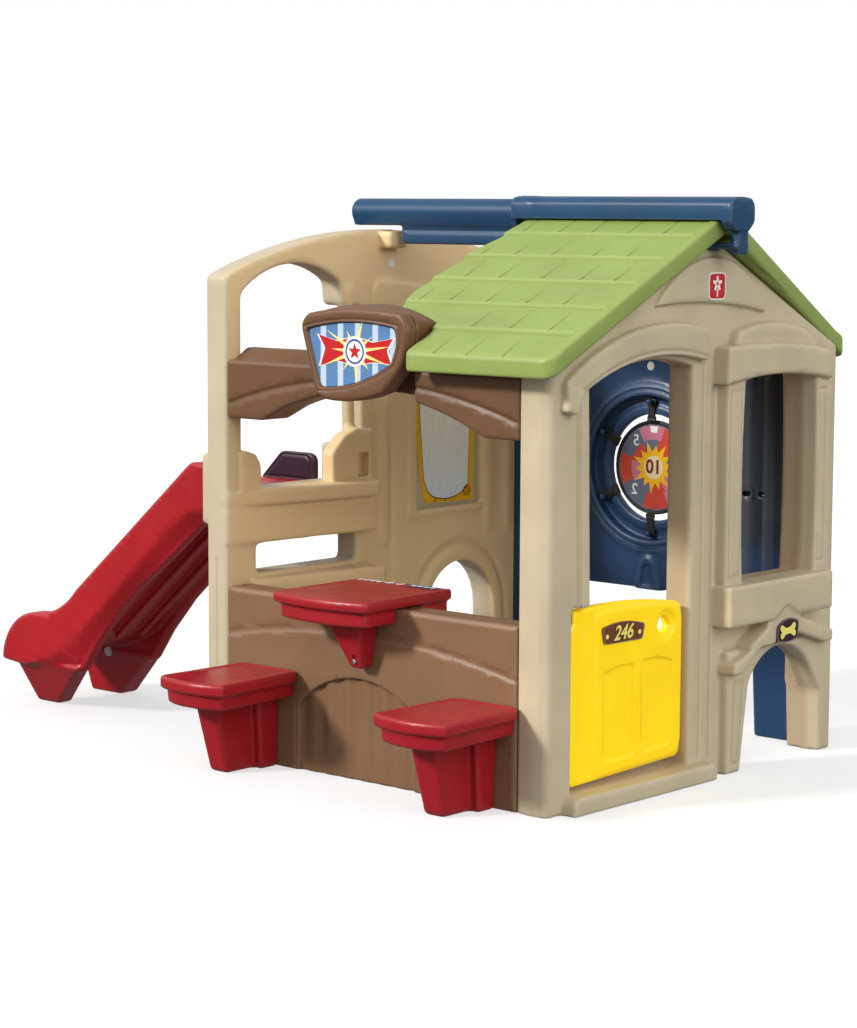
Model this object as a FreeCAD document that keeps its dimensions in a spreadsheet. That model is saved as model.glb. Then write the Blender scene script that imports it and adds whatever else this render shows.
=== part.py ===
"""Plastic playhouse with a toddler slide, a snack table, two stools, a swinging half door and a toss target.

House frame while building: X = 0 is the outer face of the door wall, with the slide towards -X; Y = 0 is
the outer face of the counter side, with the back wall towards +Y; Z = 0 is the floor. The last step moves
every piece so that the origin is under the middle of the whole toy.
"""
import FreeCAD
import Part
import math
import os
import re
import Sketcher
from FreeCAD import Placement, Rotation, Vector

DIMS = {
    # overall frame
    "min_x": -2105, "max_x": 100, "min_y": -318, "max_y": 1292,
    # house walls
    "wall_depth": 1215, "wall_thick": 100, "wall_thin": 80, "post_wide": 88,
    "eave_z": 1074, "ridge_y": 620, "gable_z": 1374,
    "tower_front": -1083, "tower_back": -1161, "tower_corner_z": 1262, "tower_top_z": 1376,
    # doorway and half door
    "sill_z": 45, "door_left": 148, "door_right": 557, "door_spring_left": 1010,
    "door_spring_right": 1050, "door_top": 1070, "hinge_left": 88, "hinge_notch_z": 493,
    "leaf_bottom": 56, "leaf_top": 464, "leaf_free_y": 544, "leaf_thick": 30,
    "hinge_x": -30, "hinge_y": 108, "hinge_roll": 16, "pin_radius": 8, "pin_gap": 0.05,
    # window and pet door
    "win_left": 737, "win_right": 1060, "win_bottom": 490, "win_top": 1006, "surround": 35,
    "pet_left": 785, "pet_right": 1104, "pet_left_z": 227, "pet_right_z": 166, "pet_top": 308,
    "pet_flare": 34,
    # counter side
    "side_thick": 85, "low_top": 452, "beam_bottom": 893, "beam_top": 1045, "beam_arch": 978,
    "beam_mid": -582, "gap": 0.5, "screw_radius": 2.5, "screw_head": 6,
    # back wall and toss target
    "back_in": 1160, "back_out": 1215, "back_top": 1070, "crawl_top": 372,
    "target_x": -582, "target_z": 714, "target_hole": 150, "disc_radius": 133, "disc_y": 1180,
    "disc_thick": 14, "peg_ring": 186, "strap_width": 26, "strap_thick": 4,
    # roof
    "roof_thick": 49, "pitch_front": 0.487, "pitch_back": 0.505, "ridge_z": 1432,
    "eave_front": -66, "eave_back": 1292,
    "roof_front_x": 52, "roof_back_front": 64,
    # slide
    "rail_near": 75, "rail_far": 432, "rail_wide": 62, "platform_z": 700,
    # table and stools
    "seat_z": 260, "seat_half": 115, "seat_deep": 312, "table_z": 484, "table_half": 163,
    "table_out": 156, "table_in": 206, "table_x": -629, "stool_left_x": -922, "stool_right_x": -188,
}

doc = FreeCAD.newDocument("playhouse")
sheet = doc.addObject("Spreadsheet::Sheet", "dims")
for row, (alias, size) in enumerate(DIMS.items(), start=1):
    sheet.set(f"A{row}", alias)
    sheet.set(f"B{row}", str(size))
    sheet.setAlias(f"B{row}", alias)
doc.recompute()

NODES = []


def bind(text):
    """Turn plain words in a formula into references to the sheet."""
    return re.sub(r"[a-z]\w*", lambda m: "dims." + m[0] if m[0] in DIMS else m[0], str(text))


def value(text):
    """The number that a formula gives."""
    result = sheet.evalExpression(bind(text))
    return float(getattr(result, "Value", result))


def piece(name):
    """Start a sub-part: one PartDesign body whose name is its node name."""
    body = doc.addObject("PartDesign::Body", name)
    body.Label = name
    NODES.append(body)
    return body


def sketch(body, role, offset, loops):
    """Draw closed loops on an origin plane, moved by offset along the plane's normal.

    A loop is a list of (u, v) formulas. A third entry, "via", marks the middle point of an arc. A loop
    given as ("circle", u, v, radius) is a circle.
    """
    plane = [f for f in body.Origin.OriginFeatures if f.Role == role][0]
    drawing = body.newObject("Sketcher::SketchObject", "sketch")
    drawing.AttachmentSupport = [(plane, "")]
    drawing.MapMode = "FlatFace"
    drawing.setExpression("AttachmentOffset.Base.z", bind(offset))
    for loop in loops:
        if loop[0] == "circle":
            draw_circle(drawing, *loop[1:])
        else:
            draw_loop(drawing, loop)
    return drawing


def lock(drawing, kind, element, point, text):
    """Hold one coordinate of a point at a formula's value."""
    index = drawing.addConstraint(Sketcher.Constraint(kind, element, point, value(text)))
    drawing.setExpression(f"Constraints[{index}]", bind(text))


def draw_circle(drawing, u, v, radius):
    centre = Vector(value(u), value(v), 0)
    element = drawing.addGeometry(Part.Circle(centre, Vector(0, 0, 1), value(radius)), False)
    lock(drawing, "DistanceX", element, 3, u)
    lock(drawing, "DistanceY", element, 3, v)
    index = drawing.addConstraint(Sketcher.Constraint("Radius", element, value(radius)))
    drawing.setExpression(f"Constraints[{index}]", bind(radius))


def draw_loop(drawing, loop):
    corners = [p for p in loop if len(p) == 2]
    via = {}
    for index, point in enumerate(loop):
        if len(point) == 3:
            via[sum(len(p) == 2 for p in loop[:index]) - 1] = point[:2]
    spots = [Vector(value(u), value(v), 0) for u, v in corners]
    elements = []
    for index, start in enumerate(spots):
        end = spots[(index + 1) % len(spots)]
        if index in via:
            middle = Vector(value(via[index][0]), value(via[index][1]), 0)
            arc = Part.Arc(start, middle, end)
            elements.append(drawing.addGeometry(arc, False))
        else:
            elements.append(drawing.addGeometry(Part.LineSegment(start, end), False))
    ends = [arc_ends(drawing, elements[i], spots[i]) if i in via else (1, 2) for i in range(len(spots))]
    for index, element in enumerate(elements):
        after = (index + 1) % len(elements)
        drawing.addConstraint(
            Sketcher.Constraint("Coincident", element, ends[index][1], elements[after], ends[after][0])
        )
        lock(drawing, "DistanceX", element, ends[index][0], corners[index][0])
        lock(drawing, "DistanceY", element, ends[index][0], corners[index][1])
    for index, (u, v) in via.items():
        spot = drawing.addGeometry(Part.Point(Vector(value(u), value(v), 0)), True)
        lock(drawing, "DistanceX", spot, 1, u)
        lock(drawing, "DistanceY", spot, 1, v)
        drawing.addConstraint(Sketcher.Constraint("PointOnObject", spot, 1, elements[index]))


def arc_ends(drawing, element, start):
    """A sketch stores arcs anticlockwise, so say which stored end is the drawn start."""
    first = drawing.getPoint(element, 1)
    return (1, 2) if first.distanceToPoint(start) < 0.01 else (2, 1)


def pad(body, role, offset, length, *loops):
    """Add material: loops on the plane at offset, pushed out by length along the plane's normal."""
    feature = body.newObject("PartDesign::Pad", "pad")
    feature.Profile = sketch(body, role, offset, loops)
    feature.setExpression("Length", bind(length))
    doc.recompute()
    return feature


def pocket(body, role, offset, length, *loops):
    """Take material: loops on the plane at offset, cut by length against the plane's normal."""
    before = body.Shape.Volume
    feature = body.newObject("PartDesign::Pocket", "pocket")
    feature.Profile = sketch(body, role, offset, loops)
    feature.setExpression("Length", bind(length))
    doc.recompute()
    if body.Shape.Volume > before - 1:
        raise SystemExit(f"a pocket in {body.Name} cuts nothing")
    return feature


def loft(body, role, start, start_loop, end, end_loop):
    """Add a straight loft between two loops on parallel planes."""
    feature = body.newObject("PartDesign::AdditiveLoft", "loft")
    feature.Profile = sketch(body, role, start, [start_loop])
    feature.Sections = [(sketch(body, role, end, [end_loop]), [""])]
    feature.Ruled = True
    doc.recompute()
    return feature


def rect(u0, v0, u1, v1):
    return [(u0, v0), (u1, v0), (u1, v1), (u0, v1)]


def solids(name, shapes):
    """A node that is a group of separate identical solids."""
    node = doc.addObject("Part::Feature", name)
    node.Label = name
    node.Shape = Part.makeCompound(shapes)
    NODES.append(node)
    return node


# ---------------------------------------------------------------- house shell


PET_ARCH = [
    ("pet_left - pet_flare", "0"), ("pet_left", "pet_left_z"), ("940", "pet_top", "via"),
    ("pet_right - 34", "pet_top - 84"), ("pet_right", "pet_right_z"), ("pet_right + 10", "0"),
]


def door_wall():
    """Gable end with the doorway, the window and the pet door."""
    body = piece("door_wall")
    outline = [
        ("0", "0"), *PET_ARCH, ("wall_depth", "0"), ("wall_depth", "eave_z"), ("ridge_y", "gable_z"),
        ("0", "eave_z"),
    ]
    doorway = [
        ("hinge_left", "sill_z"), ("door_right", "sill_z"), ("door_right", "door_spring_right"),
        ("(door_left + door_right) / 2 - 10", "door_top", "via"), ("door_left", "door_spring_left"),
        ("door_left", "hinge_notch_z"), ("hinge_left", "hinge_notch_z"),
    ]
    window = [
        ("win_left", "win_bottom"), ("win_right", "win_bottom"),
        ("win_right + 8", "(win_bottom + win_top) / 2", "via"), ("win_right", "win_top"),
        ("(win_left + win_right) / 2", "win_top + 16", "via"), ("win_left", "win_top"),
        ("win_left - 8", "(win_bottom + win_top) / 2", "via"),
    ]
    pad(body, "YZ_Plane", "-wall_thin", "wall_thin", outline, doorway, window)
    pad(body, "YZ_Plane", "-wall_thick", "wall_thick - wall_thin + 1", rect("0", "0", "post_wide", "eave_z"),
        rect("back_in - 15", "0", "wall_depth", "eave_z"))
    door_trims(body, window)
    window_trims(body)
    pet_trims(body)
    round_corner_post(body)
    hinge_sockets(body)


def door_trims(body, window):
    """Threshold, arch over the doorway, gable panel, window surround and the fine grooves."""
    threshold = [
        ("52", "0"), ("632", "0"), ("632", "30"), ("620", "sill_z"), ("64", "sill_z"), ("52", "30"),
    ]
    pad(body, "YZ_Plane", "0", "42", threshold)
    arch = [
        ("36", "968"), ("70", "958"), ("98", "1008"), ("332", "1078", "via"),
        ("592", "1062"), ("602", "1143"), ("330", "1154", "via"), ("30", "1036"),
    ]
    pad(body, "YZ_Plane", "0", "24", arch)
    gable = [
        ("386", "1202"), ("620", "1206", "via"), ("856", "1176"),
        ("770", "1276", "via"), ("650", "1318"), ("500", "1290", "via"),
    ]
    pad(body, "YZ_Plane", "0", "12", gable)
    surround = rect("660", "win_bottom - 50", "1138", "1030")
    pad(body, "YZ_Plane", "0", "surround", surround, window)
    for left, bottom, top in (("110", "500", "985"), ("600", "60", "1040")):
        pocket(body, "YZ_Plane", "0", "5", rect(left, bottom, f"{left} + 5", top))


def window_trims(body):
    """Hood with its round cap over the window, and the sill box under it."""
    hood = [
        ("636", "1000"), ("880", "1019", "via"), ("1112", "996"),
        ("1100", "1074"), ("880", "1098", "via"), ("642", "1096"),
    ]
    pad(body, "YZ_Plane", "0", "52", hood)
    cap = [("690", "1080"), ("1056", "1080"), ("1046", "1106"), ("1012", "1128"), ("849", "1152", "via"),
           ("706", "1130")]
    pad(body, "YZ_Plane", "0", "34", cap)
    box = [
        ("650", "win_bottom + 2"), ("650", "386"), ("850", "386"), ("903", "420"), ("960", "390"),
        ("1114", "390"), ("1114", "win_bottom + 2"),
    ]
    pad(body, "YZ_Plane", "0", "62", box)
    for left, bottom, right, top in ((674, 512, 722, 985), (1072, 520, 1102, 972)):
        groove = 5
        pocket(body, "YZ_Plane", "surround + 1", "4", rect(left, bottom, right, top),
               rect(left + groove, bottom + groove, right - groove, top - groove))


def pet_trims(body):
    """Pilasters and the little stepped roof over the pet door."""
    opening = [*PET_ARCH, ("wall_depth - 47", "0"), ("wall_depth - 47", "pet_top + 12"),
               ("690", "pet_top + 12"), ("690", "0")]
    pad(body, "YZ_Plane", "0", "28", opening)
    roof = [
        ("680", "262"), ("713", "262"), ("797", "322"), ("853", "322"), ("903", "345"),
        ("969", "341"), ("1095", "300"), ("1128", "300"), ("1130", "332"),
        ("1046", "352"), ("1046", "361"), ("975", "382"), ("975", "392"),
        ("903", "424"), ("828", "384"), ("828", "370"), ("755", "330"), ("755", "318"), ("680", "290"),
    ]
    pad(body, "YZ_Plane", "0", "56", roof)


def round_corner_post(body):
    """The corner beside the counter side has a generous rounded edge."""
    corner = [
        ("1", "-1"), ("1", "26"), ("-7.5", "7.5", "via"), ("-26", "-1"),
    ]
    pocket(body, "XY_Plane", "eave_z + 5", "eave_z + 10", corner)


def hinge_sockets(body):
    """Blind holes for the half door's two pins, in the threshold and in the jamb."""
    pocket(body, "XY_Plane", "sill_z", "35", ("circle", "hinge_x", "hinge_y", "pin_radius"))
    socket = body.newObject("PartDesign::Pocket", "pocket")
    socket.Profile = sketch(body, "XY_Plane", "hinge_notch_z",
                            [("circle", "hinge_x", "hinge_y", "pin_radius")])
    socket.Length = 35
    socket.Reversed = True
    doc.recompute()


def slide_wall():
    """Tower end: exit to the slide, climbing steps moulded on the inside, crawl arch and mirror recess."""
    body = piece("slide_wall")
    outline = [
        ("0", "0"), ("775", "0"), ("775", "284"), ("922", "432", "via"), ("1070", "284"),
        ("1070", "0"), ("wall_depth", "0"), ("wall_depth", "tower_corner_z"),
        ("wall_depth / 2", "tower_top_z", "via"), ("0", "tower_corner_z"),
    ]
    exit_gap = [
        ("58", "platform_z"), ("505", "platform_z"), ("505", "1160"), ("432", "1200"),
        ("270", "1286", "via"), ("58", "1208"),
    ]
    slot = rect("112", "476", "494", "554")
    pad(body, "YZ_Plane", "tower_back", "tower_front - tower_back", outline, exit_gap, slot)
    rim = [
        ("735", "60"), ("775", "60"), ("775", "284"), ("922", "432", "via"), ("1070", "284"),
        ("1070", "60"), ("1110", "60"), ("1110", "284"), ("922", "472", "via"), ("735", "284"),
    ]
    pad(body, "YZ_Plane", "tower_front", "14", rim)
    for bottom, height, start, near, far, depth in (
            ("platform_z - 45", "45", "0", "505", "2", "82"), ("556", "100", "0", "530", "2", "46"),
            ("20", "442", "side_thick + gap", "538", "16", "76")):
        pad(body, "XY_Plane", bottom, height, [
            ("tower_front - 5", start), (f"tower_front + {far}", start), (f"tower_front + {depth}", "492"),
            (f"tower_front + {depth}", near), ("tower_front - 5", near)])
    pocket(body, "YZ_Plane", "tower_front", "20", rect("712", "572", "1006", "960"))
    exit_wings(body)
    bracket = [("580", "1325"), ("655", "1325"), ("655", "1372"), ("580", "1372")]
    pad(body, "YZ_Plane", "tower_front", "45", bracket)
    flange = rect("0", "608", "56", "795")
    far_flange = rect("454", "608", "510", "795")
    pad(body, "YZ_Plane", "tower_back - 22", "22", flange, far_flange)


def exit_wings(body):
    """Shoulders on both sides of the slide exit, and the upright grab bar."""
    near = [
        ("20", "platform_z - 10"), ("112", "platform_z - 10"), ("112", "775"), ("58", "812"), ("20", "812"),
    ]
    pad(body, "YZ_Plane", "tower_front", "28", near)
    far = [
        ("330", "platform_z - 10"), ("515", "platform_z - 10"), ("515", "836"), ("400", "836"),
        ("330", "790"),
    ]
    pad(body, "YZ_Plane", "tower_front - 50", "98", far)
    pocket(body, "YZ_Plane", "tower_front + 48", "30", rect("472", "706", "500", "790"))
    pad(body, "YZ_Plane", "tower_front - 30", "34", rect("436", "830", "468", "1215"))


def low_wall():
    """Brown counter under the service opening, with its arched recess and wavy lower panel."""
    body = piece("low_wall")
    left, right = "tower_front + gap", "-wall_thick - gap"
    outline = [
        (left, "0"), (right, "0"), (right, "low_top"), (left, "low_top"),
    ]
    pad(body, "XZ_Plane", "-side_thick", "side_thick", outline)
    recess = [
        ("-826", "0"), ("-430", "0"), ("-430", "200"), ("-628", "252", "via"), ("-826", "172"),
    ]
    pocket(body, "XZ_Plane", "0", "14", recess)
    waves, low, rise = 7, 185, 45
    pitch = (826 - 430) / waves
    for index in range(waves):
        flute = ("circle", f"{-826 + pitch * (index + 0.5)}", "12", f"{pitch * 0.27}")
        height = low + rise * math.sin(math.pi * (index + 0.5) / waves)
        pad(body, "XY_Plane", "0", height, flute)
    groove = [
        (left, "328"), ("beam_mid - 60", "373", "via"), (right, "317"),
        (right, "312"), ("beam_mid - 60", "368", "via"), (left, "323"),
    ]
    pocket(body, "XZ_Plane", "0", "5", groove)


def arch_beam():
    """Brown arched beam over the service opening."""
    body = piece("arch_beam")
    left, right = "tower_front + gap", "-wall_thick - gap"
    outline = [
        (left, "beam_bottom"), ("-955", "beam_bottom"), ("-880", "930"),
        ("beam_mid", "beam_arch + 4", "via"), ("-284", "924"), ("-210", "beam_bottom"),
        (right, "beam_bottom"), (right, "beam_top"), (left, "beam_top"),
    ]
    pad(body, "XZ_Plane", "-side_thick - 15", "side_thick + 15", outline)
    top = [("0", "beam_top"), ("side_thick + 15", "beam_top"), ("side_thick + 15", "beam_top + 30")]
    pad(body, "YZ_Plane", left, f"{right} - ({left})", top)
    groove = [
        (left, "932"), ("beam_mid", "1012", "via"), (right, "936"),
        (right, "931"), ("beam_mid", "1007", "via"), (left, "927"),
    ]
    pocket(body, "XZ_Plane", "0", "6", groove)


def back_wall():
    """Blue back wall with a crawl opening below and the dished toss target."""
    body = piece("back_wall")
    left, right = "tower_front + gap", "-wall_thick - gap"
    outline = [
        (left, "0"), ("-946", "0"), ("-930", "310"), ("-880", "crawl_top"), ("-284", "crawl_top"),
        ("-234", "310"), ("-218", "0"), (right, "0"), (right, "back_top"), (left, "back_top"),
    ]
    hole = ("circle", "target_x", "target_z", "target_hole")
    pad(body, "XZ_Plane", "-back_out", "back_out - back_in", outline, hole)
    dish = ("circle", "target_x", "target_z", "215")
    ring = ("circle", "target_x", "target_z", "206")
    pad(body, "XZ_Plane", "-back_in", "12", dish, ring)
    pocket(body, "XZ_Plane", "-back_in", "16", ring)
    bump = [
        ("-622", "crawl_top"), ("-542", "crawl_top"), ("-557", "440"), ("-582", "462", "via"),
        ("-607", "440"),
    ]
    pad(body, "XZ_Plane", "-back_in", "12", bump)


# ---------------------------------------------------------------- roof


def roof_front():
    """Green roof half over the counter side, with a stepped end and a notch for the sign."""
    body = piece("roof_front")
    eave, ridge = "eave_front", "ridge_y - 4"
    steps = [("-575", "500"), ("-600", "420"), ("-612", "330"), ("-625", "215"), ("-600", "120")]
    outline = [("roof_front_x", ridge), ("-560", ridge)]
    for x, y in steps:
        outline += [(x, f"{y} + 12"), (x, y)]
    outline += [("-560", "78"), ("-424", "78"), ("-408", "20"), ("-405", eave), ("roof_front_x - 40", eave),
                ("roof_front_x - 8", f"{eave} + 12", "via"), ("roof_front_x", f"{eave} + 45")]
    roof_slab(body, outline, "eave_front - 20", "ridge_y + 16", "pitch_front")


def roof_back():
    """The other roof half, over the back wall."""
    body = piece("roof_back")
    eave, ridge = "eave_back", "ridge_y + 4"
    outline = [("roof_back_front", ridge), ("-24", f"{eave} - 50"), ("-34", f"{eave} - 12", "via"),
               ("-62", eave), ("-560", eave)]
    for x, y in (("-600", "1120"), ("-625", "1020"), ("-612", "910"), ("-600", "820"), ("-575", "740")):
        outline += [(x, f"{y} + 12"), (x, y)]
    outline += [("-560", ridge)]
    roof_slab(body, outline, "eave_back + 20", "ridge_y - 16", "pitch_back")


def roof_slab(body, outline, low_y, high_y, pitch):
    """The part of a sloping slab that lies under a plan outline: a tall plan prism cut to the slope."""
    fall = f"ridge_z - {pitch} * (abs(({low_y}) - ridge_y))"
    crest = f"ridge_z + {pitch} * 16"
    sink = "roof_thick * 1.12"
    pad(body, "XY_Plane", "950", "ridge_z - 940", outline)
    pocket(body, "YZ_Plane", "200", "1100", [
        (low_y, fall), (high_y, crest), (high_y, f"{crest} + 80"), (low_y, f"{crest} + 80")])
    pocket(body, "YZ_Plane", "200", "1100", [
        (low_y, "800"), (high_y, "800"), (high_y, f"{crest} - {sink}"), (low_y, f"{fall} - {sink}")])


def ridge_beams():
    """Two blue ridge beams that meet in a collar, one over the roof and one over the tower."""
    front = piece("ridge_beam_front")
    crown = [
        ("568", "1408"), ("ridge_y - 3", "ridge_z"), ("ridge_y + 3", "ridge_z"), ("672", "1407"),
        ("672", "1446"), ("654", "1465"), ("ridge_y", "1469", "via"), ("586", "1465"), ("568", "1446"),
    ]
    pad(front, "YZ_Plane", "-604", "604 + max_x", crown)
    end_face = [("584", "1384"), ("656", "1384"), ("672", "1410"), ("ridge_y", "1440"), ("568", "1410")]
    pad(front, "YZ_Plane", "roof_back_front + gap", "max_x - roof_back_front - gap", end_face)
    pad(front, "YZ_Plane", "roof_back_front + gap", "max_x - roof_back_front - gap",
        rect("604", "1338", "660", "1390"))
    pad(front, "YZ_Plane", "gap", "roof_back_front", rect("604", "1338", "660", "1354"))
    rear = piece("ridge_beam_rear")
    pad(rear, "YZ_Plane", "-1198", "1198 - 604 - gap", ("circle", "ridge_y", "1425", "36"))
    pad(rear, "YZ_Plane", "-1016", "1016 - 604 - gap", rect("598", "1338", "642", "1410"))


# ---------------------------------------------------------------- counter side


def sign():
    """Shield-shaped sign box on the beam, with a picture panel let into its face."""
    housing = piece("sign_housing")
    rim = [
        ("-757", "1166"), ("beam_mid", "1196", "via"), ("-424", "1158"), ("-434", "1054"),
        ("-572", "972", "via"), ("-722", "974"),
    ]
    loft(housing, "XZ_Plane", "48", rim, "-78", [
        ("-752", "1172"), ("beam_mid", "1202", "via"), ("-428", "1164"), ("-438", "1060"),
        ("-572", "980", "via"), ("-718", "982"),
    ])
    panel_loop = [
        ("-726", "1142"), ("beam_mid", "1166", "via"), ("-452", "1132"), ("-462", "1066"),
        ("-572", "1002", "via"), ("-698", "1006"),
    ]
    pocket(housing, "XZ_Plane", "48", "12", panel_loop)
    saddle = [("-gap", "900"), ("110", "900"), ("110", "beam_top + 36"), ("-gap", "beam_top + gap + 1")]
    pocket(housing, "YZ_Plane", "-300", "500", saddle)
    panel = piece("sign_panel")
    pad(panel, "XZ_Plane", "36", "4", panel_loop)


def stool_top(body, x, half, z, out, inward, lip, skirt, narrow):
    """Moulded seat or table top: a bowed slab over an inset skirt, a little narrower at its inner end."""
    for bottom, height, inset in ((f"{z} - {lip}", lip, 0), (f"{z} - {lip} - {skirt}", skirt, 15)):
        left, right = f"{x} - {half} + {inset}", f"{x} + {half} - {inset}"
        edge = f"-{out} + 27 + {inset}"
        pad(body, "XY_Plane", bottom, height, [
            (left, edge), (x, f"-{out} + {inset}", "via"), (right, edge),
            (f"{right} - {narrow}", inward), (f"{left} + {narrow}", inward)])


def stool(name, x):
    """Red stool: top, skirt and a pedestal that tapers to the floor."""
    body = piece(name)
    lip, skirt = 33, 37
    stool_top(body, x, "seat_half", "seat_z", "seat_deep", "-gap", lip, skirt, 12)
    leg = f"{x} - 35"
    loft(body, "XY_Plane", f"seat_z - {lip + skirt}", rect(f"{leg} - 41", "-208", f"{leg} + 41", "-gap"),
         "0", rect(f"{leg} - 33", "-158", f"{leg} + 33", "-gap"))


def table():
    """Red table that straddles the low wall on a wedge bracket."""
    body = piece("table")
    lip, under = 28, 38
    stool_top(body, "table_x", "table_half", "table_z", "table_out", "table_in", lip, 2, 8)
    bottom = f"table_z - {lip + under}"
    left, right = "table_x - table_half + 15", "table_x + table_half - 15"
    pad(body, "XY_Plane", bottom, under + 1, [
        (left, "-table_out + 42"), ("table_x", "-table_out + 15", "via"), (right, "-table_out + 42"),
        (right, "-gap"), (left, "-gap")])
    pad(body, "XY_Plane", bottom, under + 1, rect(left, "side_thick + gap", right, "table_in - 15"))
    loft(body, "XY_Plane", bottom, rect("-665", "-78", "-541", "-gap"),
         "298", rect("-606", "-40", "-566", "-gap"))


# ---------------------------------------------------------------- moving parts


def half_door():
    """Yellow half door with a hinge roll, a raised frame, two sunk panels and a finger hole."""
    body = piece("half_door")
    front = "hinge_x + leaf_thick / 2"
    leaf = [
        ("hinge_y", "leaf_bottom"), ("leaf_free_y - 24", "leaf_bottom + 14"),
        ("leaf_free_y - 7", "leaf_bottom + 21", "via"), ("leaf_free_y", "leaf_bottom + 38"),
        ("leaf_free_y", "leaf_top - 22"), ("leaf_free_y - 7", "leaf_top - 5", "via"),
        ("leaf_free_y - 24", "leaf_top + 2"), ("320", "leaf_top + 22", "via"), ("hinge_y", "leaf_top + 12"),
    ]
    finger = ("circle", "470", "412", "23")
    pad(body, "YZ_Plane", "hinge_x - leaf_thick / 2", "leaf_thick", leaf, finger)
    pad(body, "XY_Plane", "leaf_bottom", "leaf_top - leaf_bottom - 12", (
        "circle", "hinge_x", "hinge_y", "hinge_roll"))
    raised = [
        ("190", "68"), ("516", "80"), ("537", "102"), ("537", "438"), ("516", "458"),
        ("340", "475", "via"), ("190", "468"),
    ]
    left_panel = [
        ("218", "102"), ("341", "102"), ("339", "330"), ("275", "331", "via"), ("218", "318"),
    ]
    right_panel = [
        ("374", "104"), ("489", "109"), ("498", "320"), ("440", "334", "via"), ("375", "334"),
    ]
    pad(body, "YZ_Plane", front, "8", raised, left_panel, right_panel, finger)
    pocket(body, "XY_Plane", "leaf_bottom + 50", "60", (
        "circle", "hinge_x", "hinge_y", "pin_radius + pin_gap"))
    pocket(body, "XY_Plane", "leaf_top + 20", "72", (
        "circle", "hinge_x", "hinge_y", "pin_radius + pin_gap"))


def hinge_pins():
    """Two plain pins, pressed into the threshold and the jamb, that the half door turns on."""
    x, y, radius = value("hinge_x"), value("hinge_y"), value("pin_radius")
    low = value("sill_z") - 34
    high = value("leaf_top") - 48
    solids("hinge_pins", [
        Part.makeCylinder(radius, 88, Vector(x, y, low)),
        Part.makeCylinder(radius, value("hinge_notch_z") + 34 - high, Vector(x, y, high)),
    ])


def target_disc():
    """Round toss target with a raised rim, hung in the hole of the back wall."""
    body = piece("target_disc")
    pad(body, "XZ_Plane", "-disc_y - disc_thick", "disc_thick", (
        "circle", "target_x", "target_z", "disc_radius"))
    pad(body, "XZ_Plane", "-disc_y", "4", ("circle", "target_x", "target_z", "disc_radius"), (
        "circle", "target_x", "target_z", "disc_radius - 7"))


def radial(angle, reach, y):
    """A point on the target's circle."""
    return Vector(value("target_x") + reach * math.sin(angle), y, value("target_z") + reach * math.cos(angle))


def target_hardware():
    """Six elastic straps from the disc to pegs on the back wall."""
    straps, pegs = [], []
    back = value("back_in") + 16
    for index in range(6):
        angle = math.radians(60 * index)
        turn = Rotation(Vector(0, 1, 0), math.degrees(angle))
        inner, outer = value("disc_radius") + 0.6, value("peg_ring") - 7
        strap = Part.makeBox(value("strap_width"), value("strap_thick"), outer - inner,
                             Vector(-value("strap_width") / 2, -value("strap_thick") - 6.5, inner))
        strap.Placement = Placement(radial(0, 0, back), turn)
        straps.append(strap)
        peg = Part.makeCylinder(6.5, 22, radial(angle, value("peg_ring"), back), Vector(0, -1, 0))
        cap = Part.makeSphere(9, radial(angle, value("peg_ring"), back - 22))
        pegs.append(peg.fuse(cap))
    solids("target_straps", straps)
    solids("target_pegs", pegs)


# ---------------------------------------------------------------- slide


def slide():
    """Red slide: bed, two deep side rails and a pair of splayed feet."""
    body = piece("slide")
    top = "tower_back - gap"
    rail = [
        (top, "760"), ("-1301", "758"), ("-1776", "366"), ("-1850", "312", "via"), ("-1937", "284"),
        ("-2066", "228", "via"), ("min_x + 4", "133"), ("-1990", "128"), ("-1850", "166", "via"),
        ("-1744", "234"), ("-1532", "472"), ("-1293", "642"), (top, "648"),
    ]
    for start in ("rail_near", "rail_far - rail_wide"):
        pad(body, "XZ_Plane", f"-({start}) - rail_wide", "rail_wide", rail)
    bed = [
        (top, "platform_z - 4"), ("-1276", "platform_z - 10"), ("-1760", "270"), ("-1840", "218", "via"),
        ("-1960", "196"), ("min_x + 4", "176"), ("min_x + 6", "136"), ("-1960", "160"),
        ("-1850", "180", "via"), ("-1740", "236"), ("-1276", "636"), (top, "640"),
    ]
    pad(body, "XZ_Plane", "-rail_far + rail_wide - 2", "rail_far - rail_near - 2 * rail_wide + 4", bed)
    pocket(body, "XZ_Plane", "-rail_far + rail_wide + 1", "rail_wide + 2",
           rect("-1400", "platform_z - 12", "tower_back", "770"))
    rib = [("-1276", "640"), ("-1745", "238"), ("-1745", "208"), ("-1276", "606")]
    pad(body, "XZ_Plane", "-268", "28", rib)
    loft(body, "XY_Plane", "176", rect("-2000", "92", "-1765", "137"),
         "0", rect("-2080", "190", "-1978", "238"))
    loft(body, "XY_Plane", "240", rect("-1985", "371", "-1745", "431"),
         "0", rect("-2050", "414", "-1966", "476"))


def hand_wing():
    """Plum side wing bolted beside the slide's head, a hand hold for the last step."""
    body = piece("hand_wing")
    end = "tower_back - 22 - gap"
    pad(body, "XZ_Plane", "-rail_far - gap - 18", "18", [
        (end, "684"), (end, "750"), ("-1200", "764"), ("-1314", "764"), ("-1396", "684")])


# ---------------------------------------------------------------- small pieces


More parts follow.
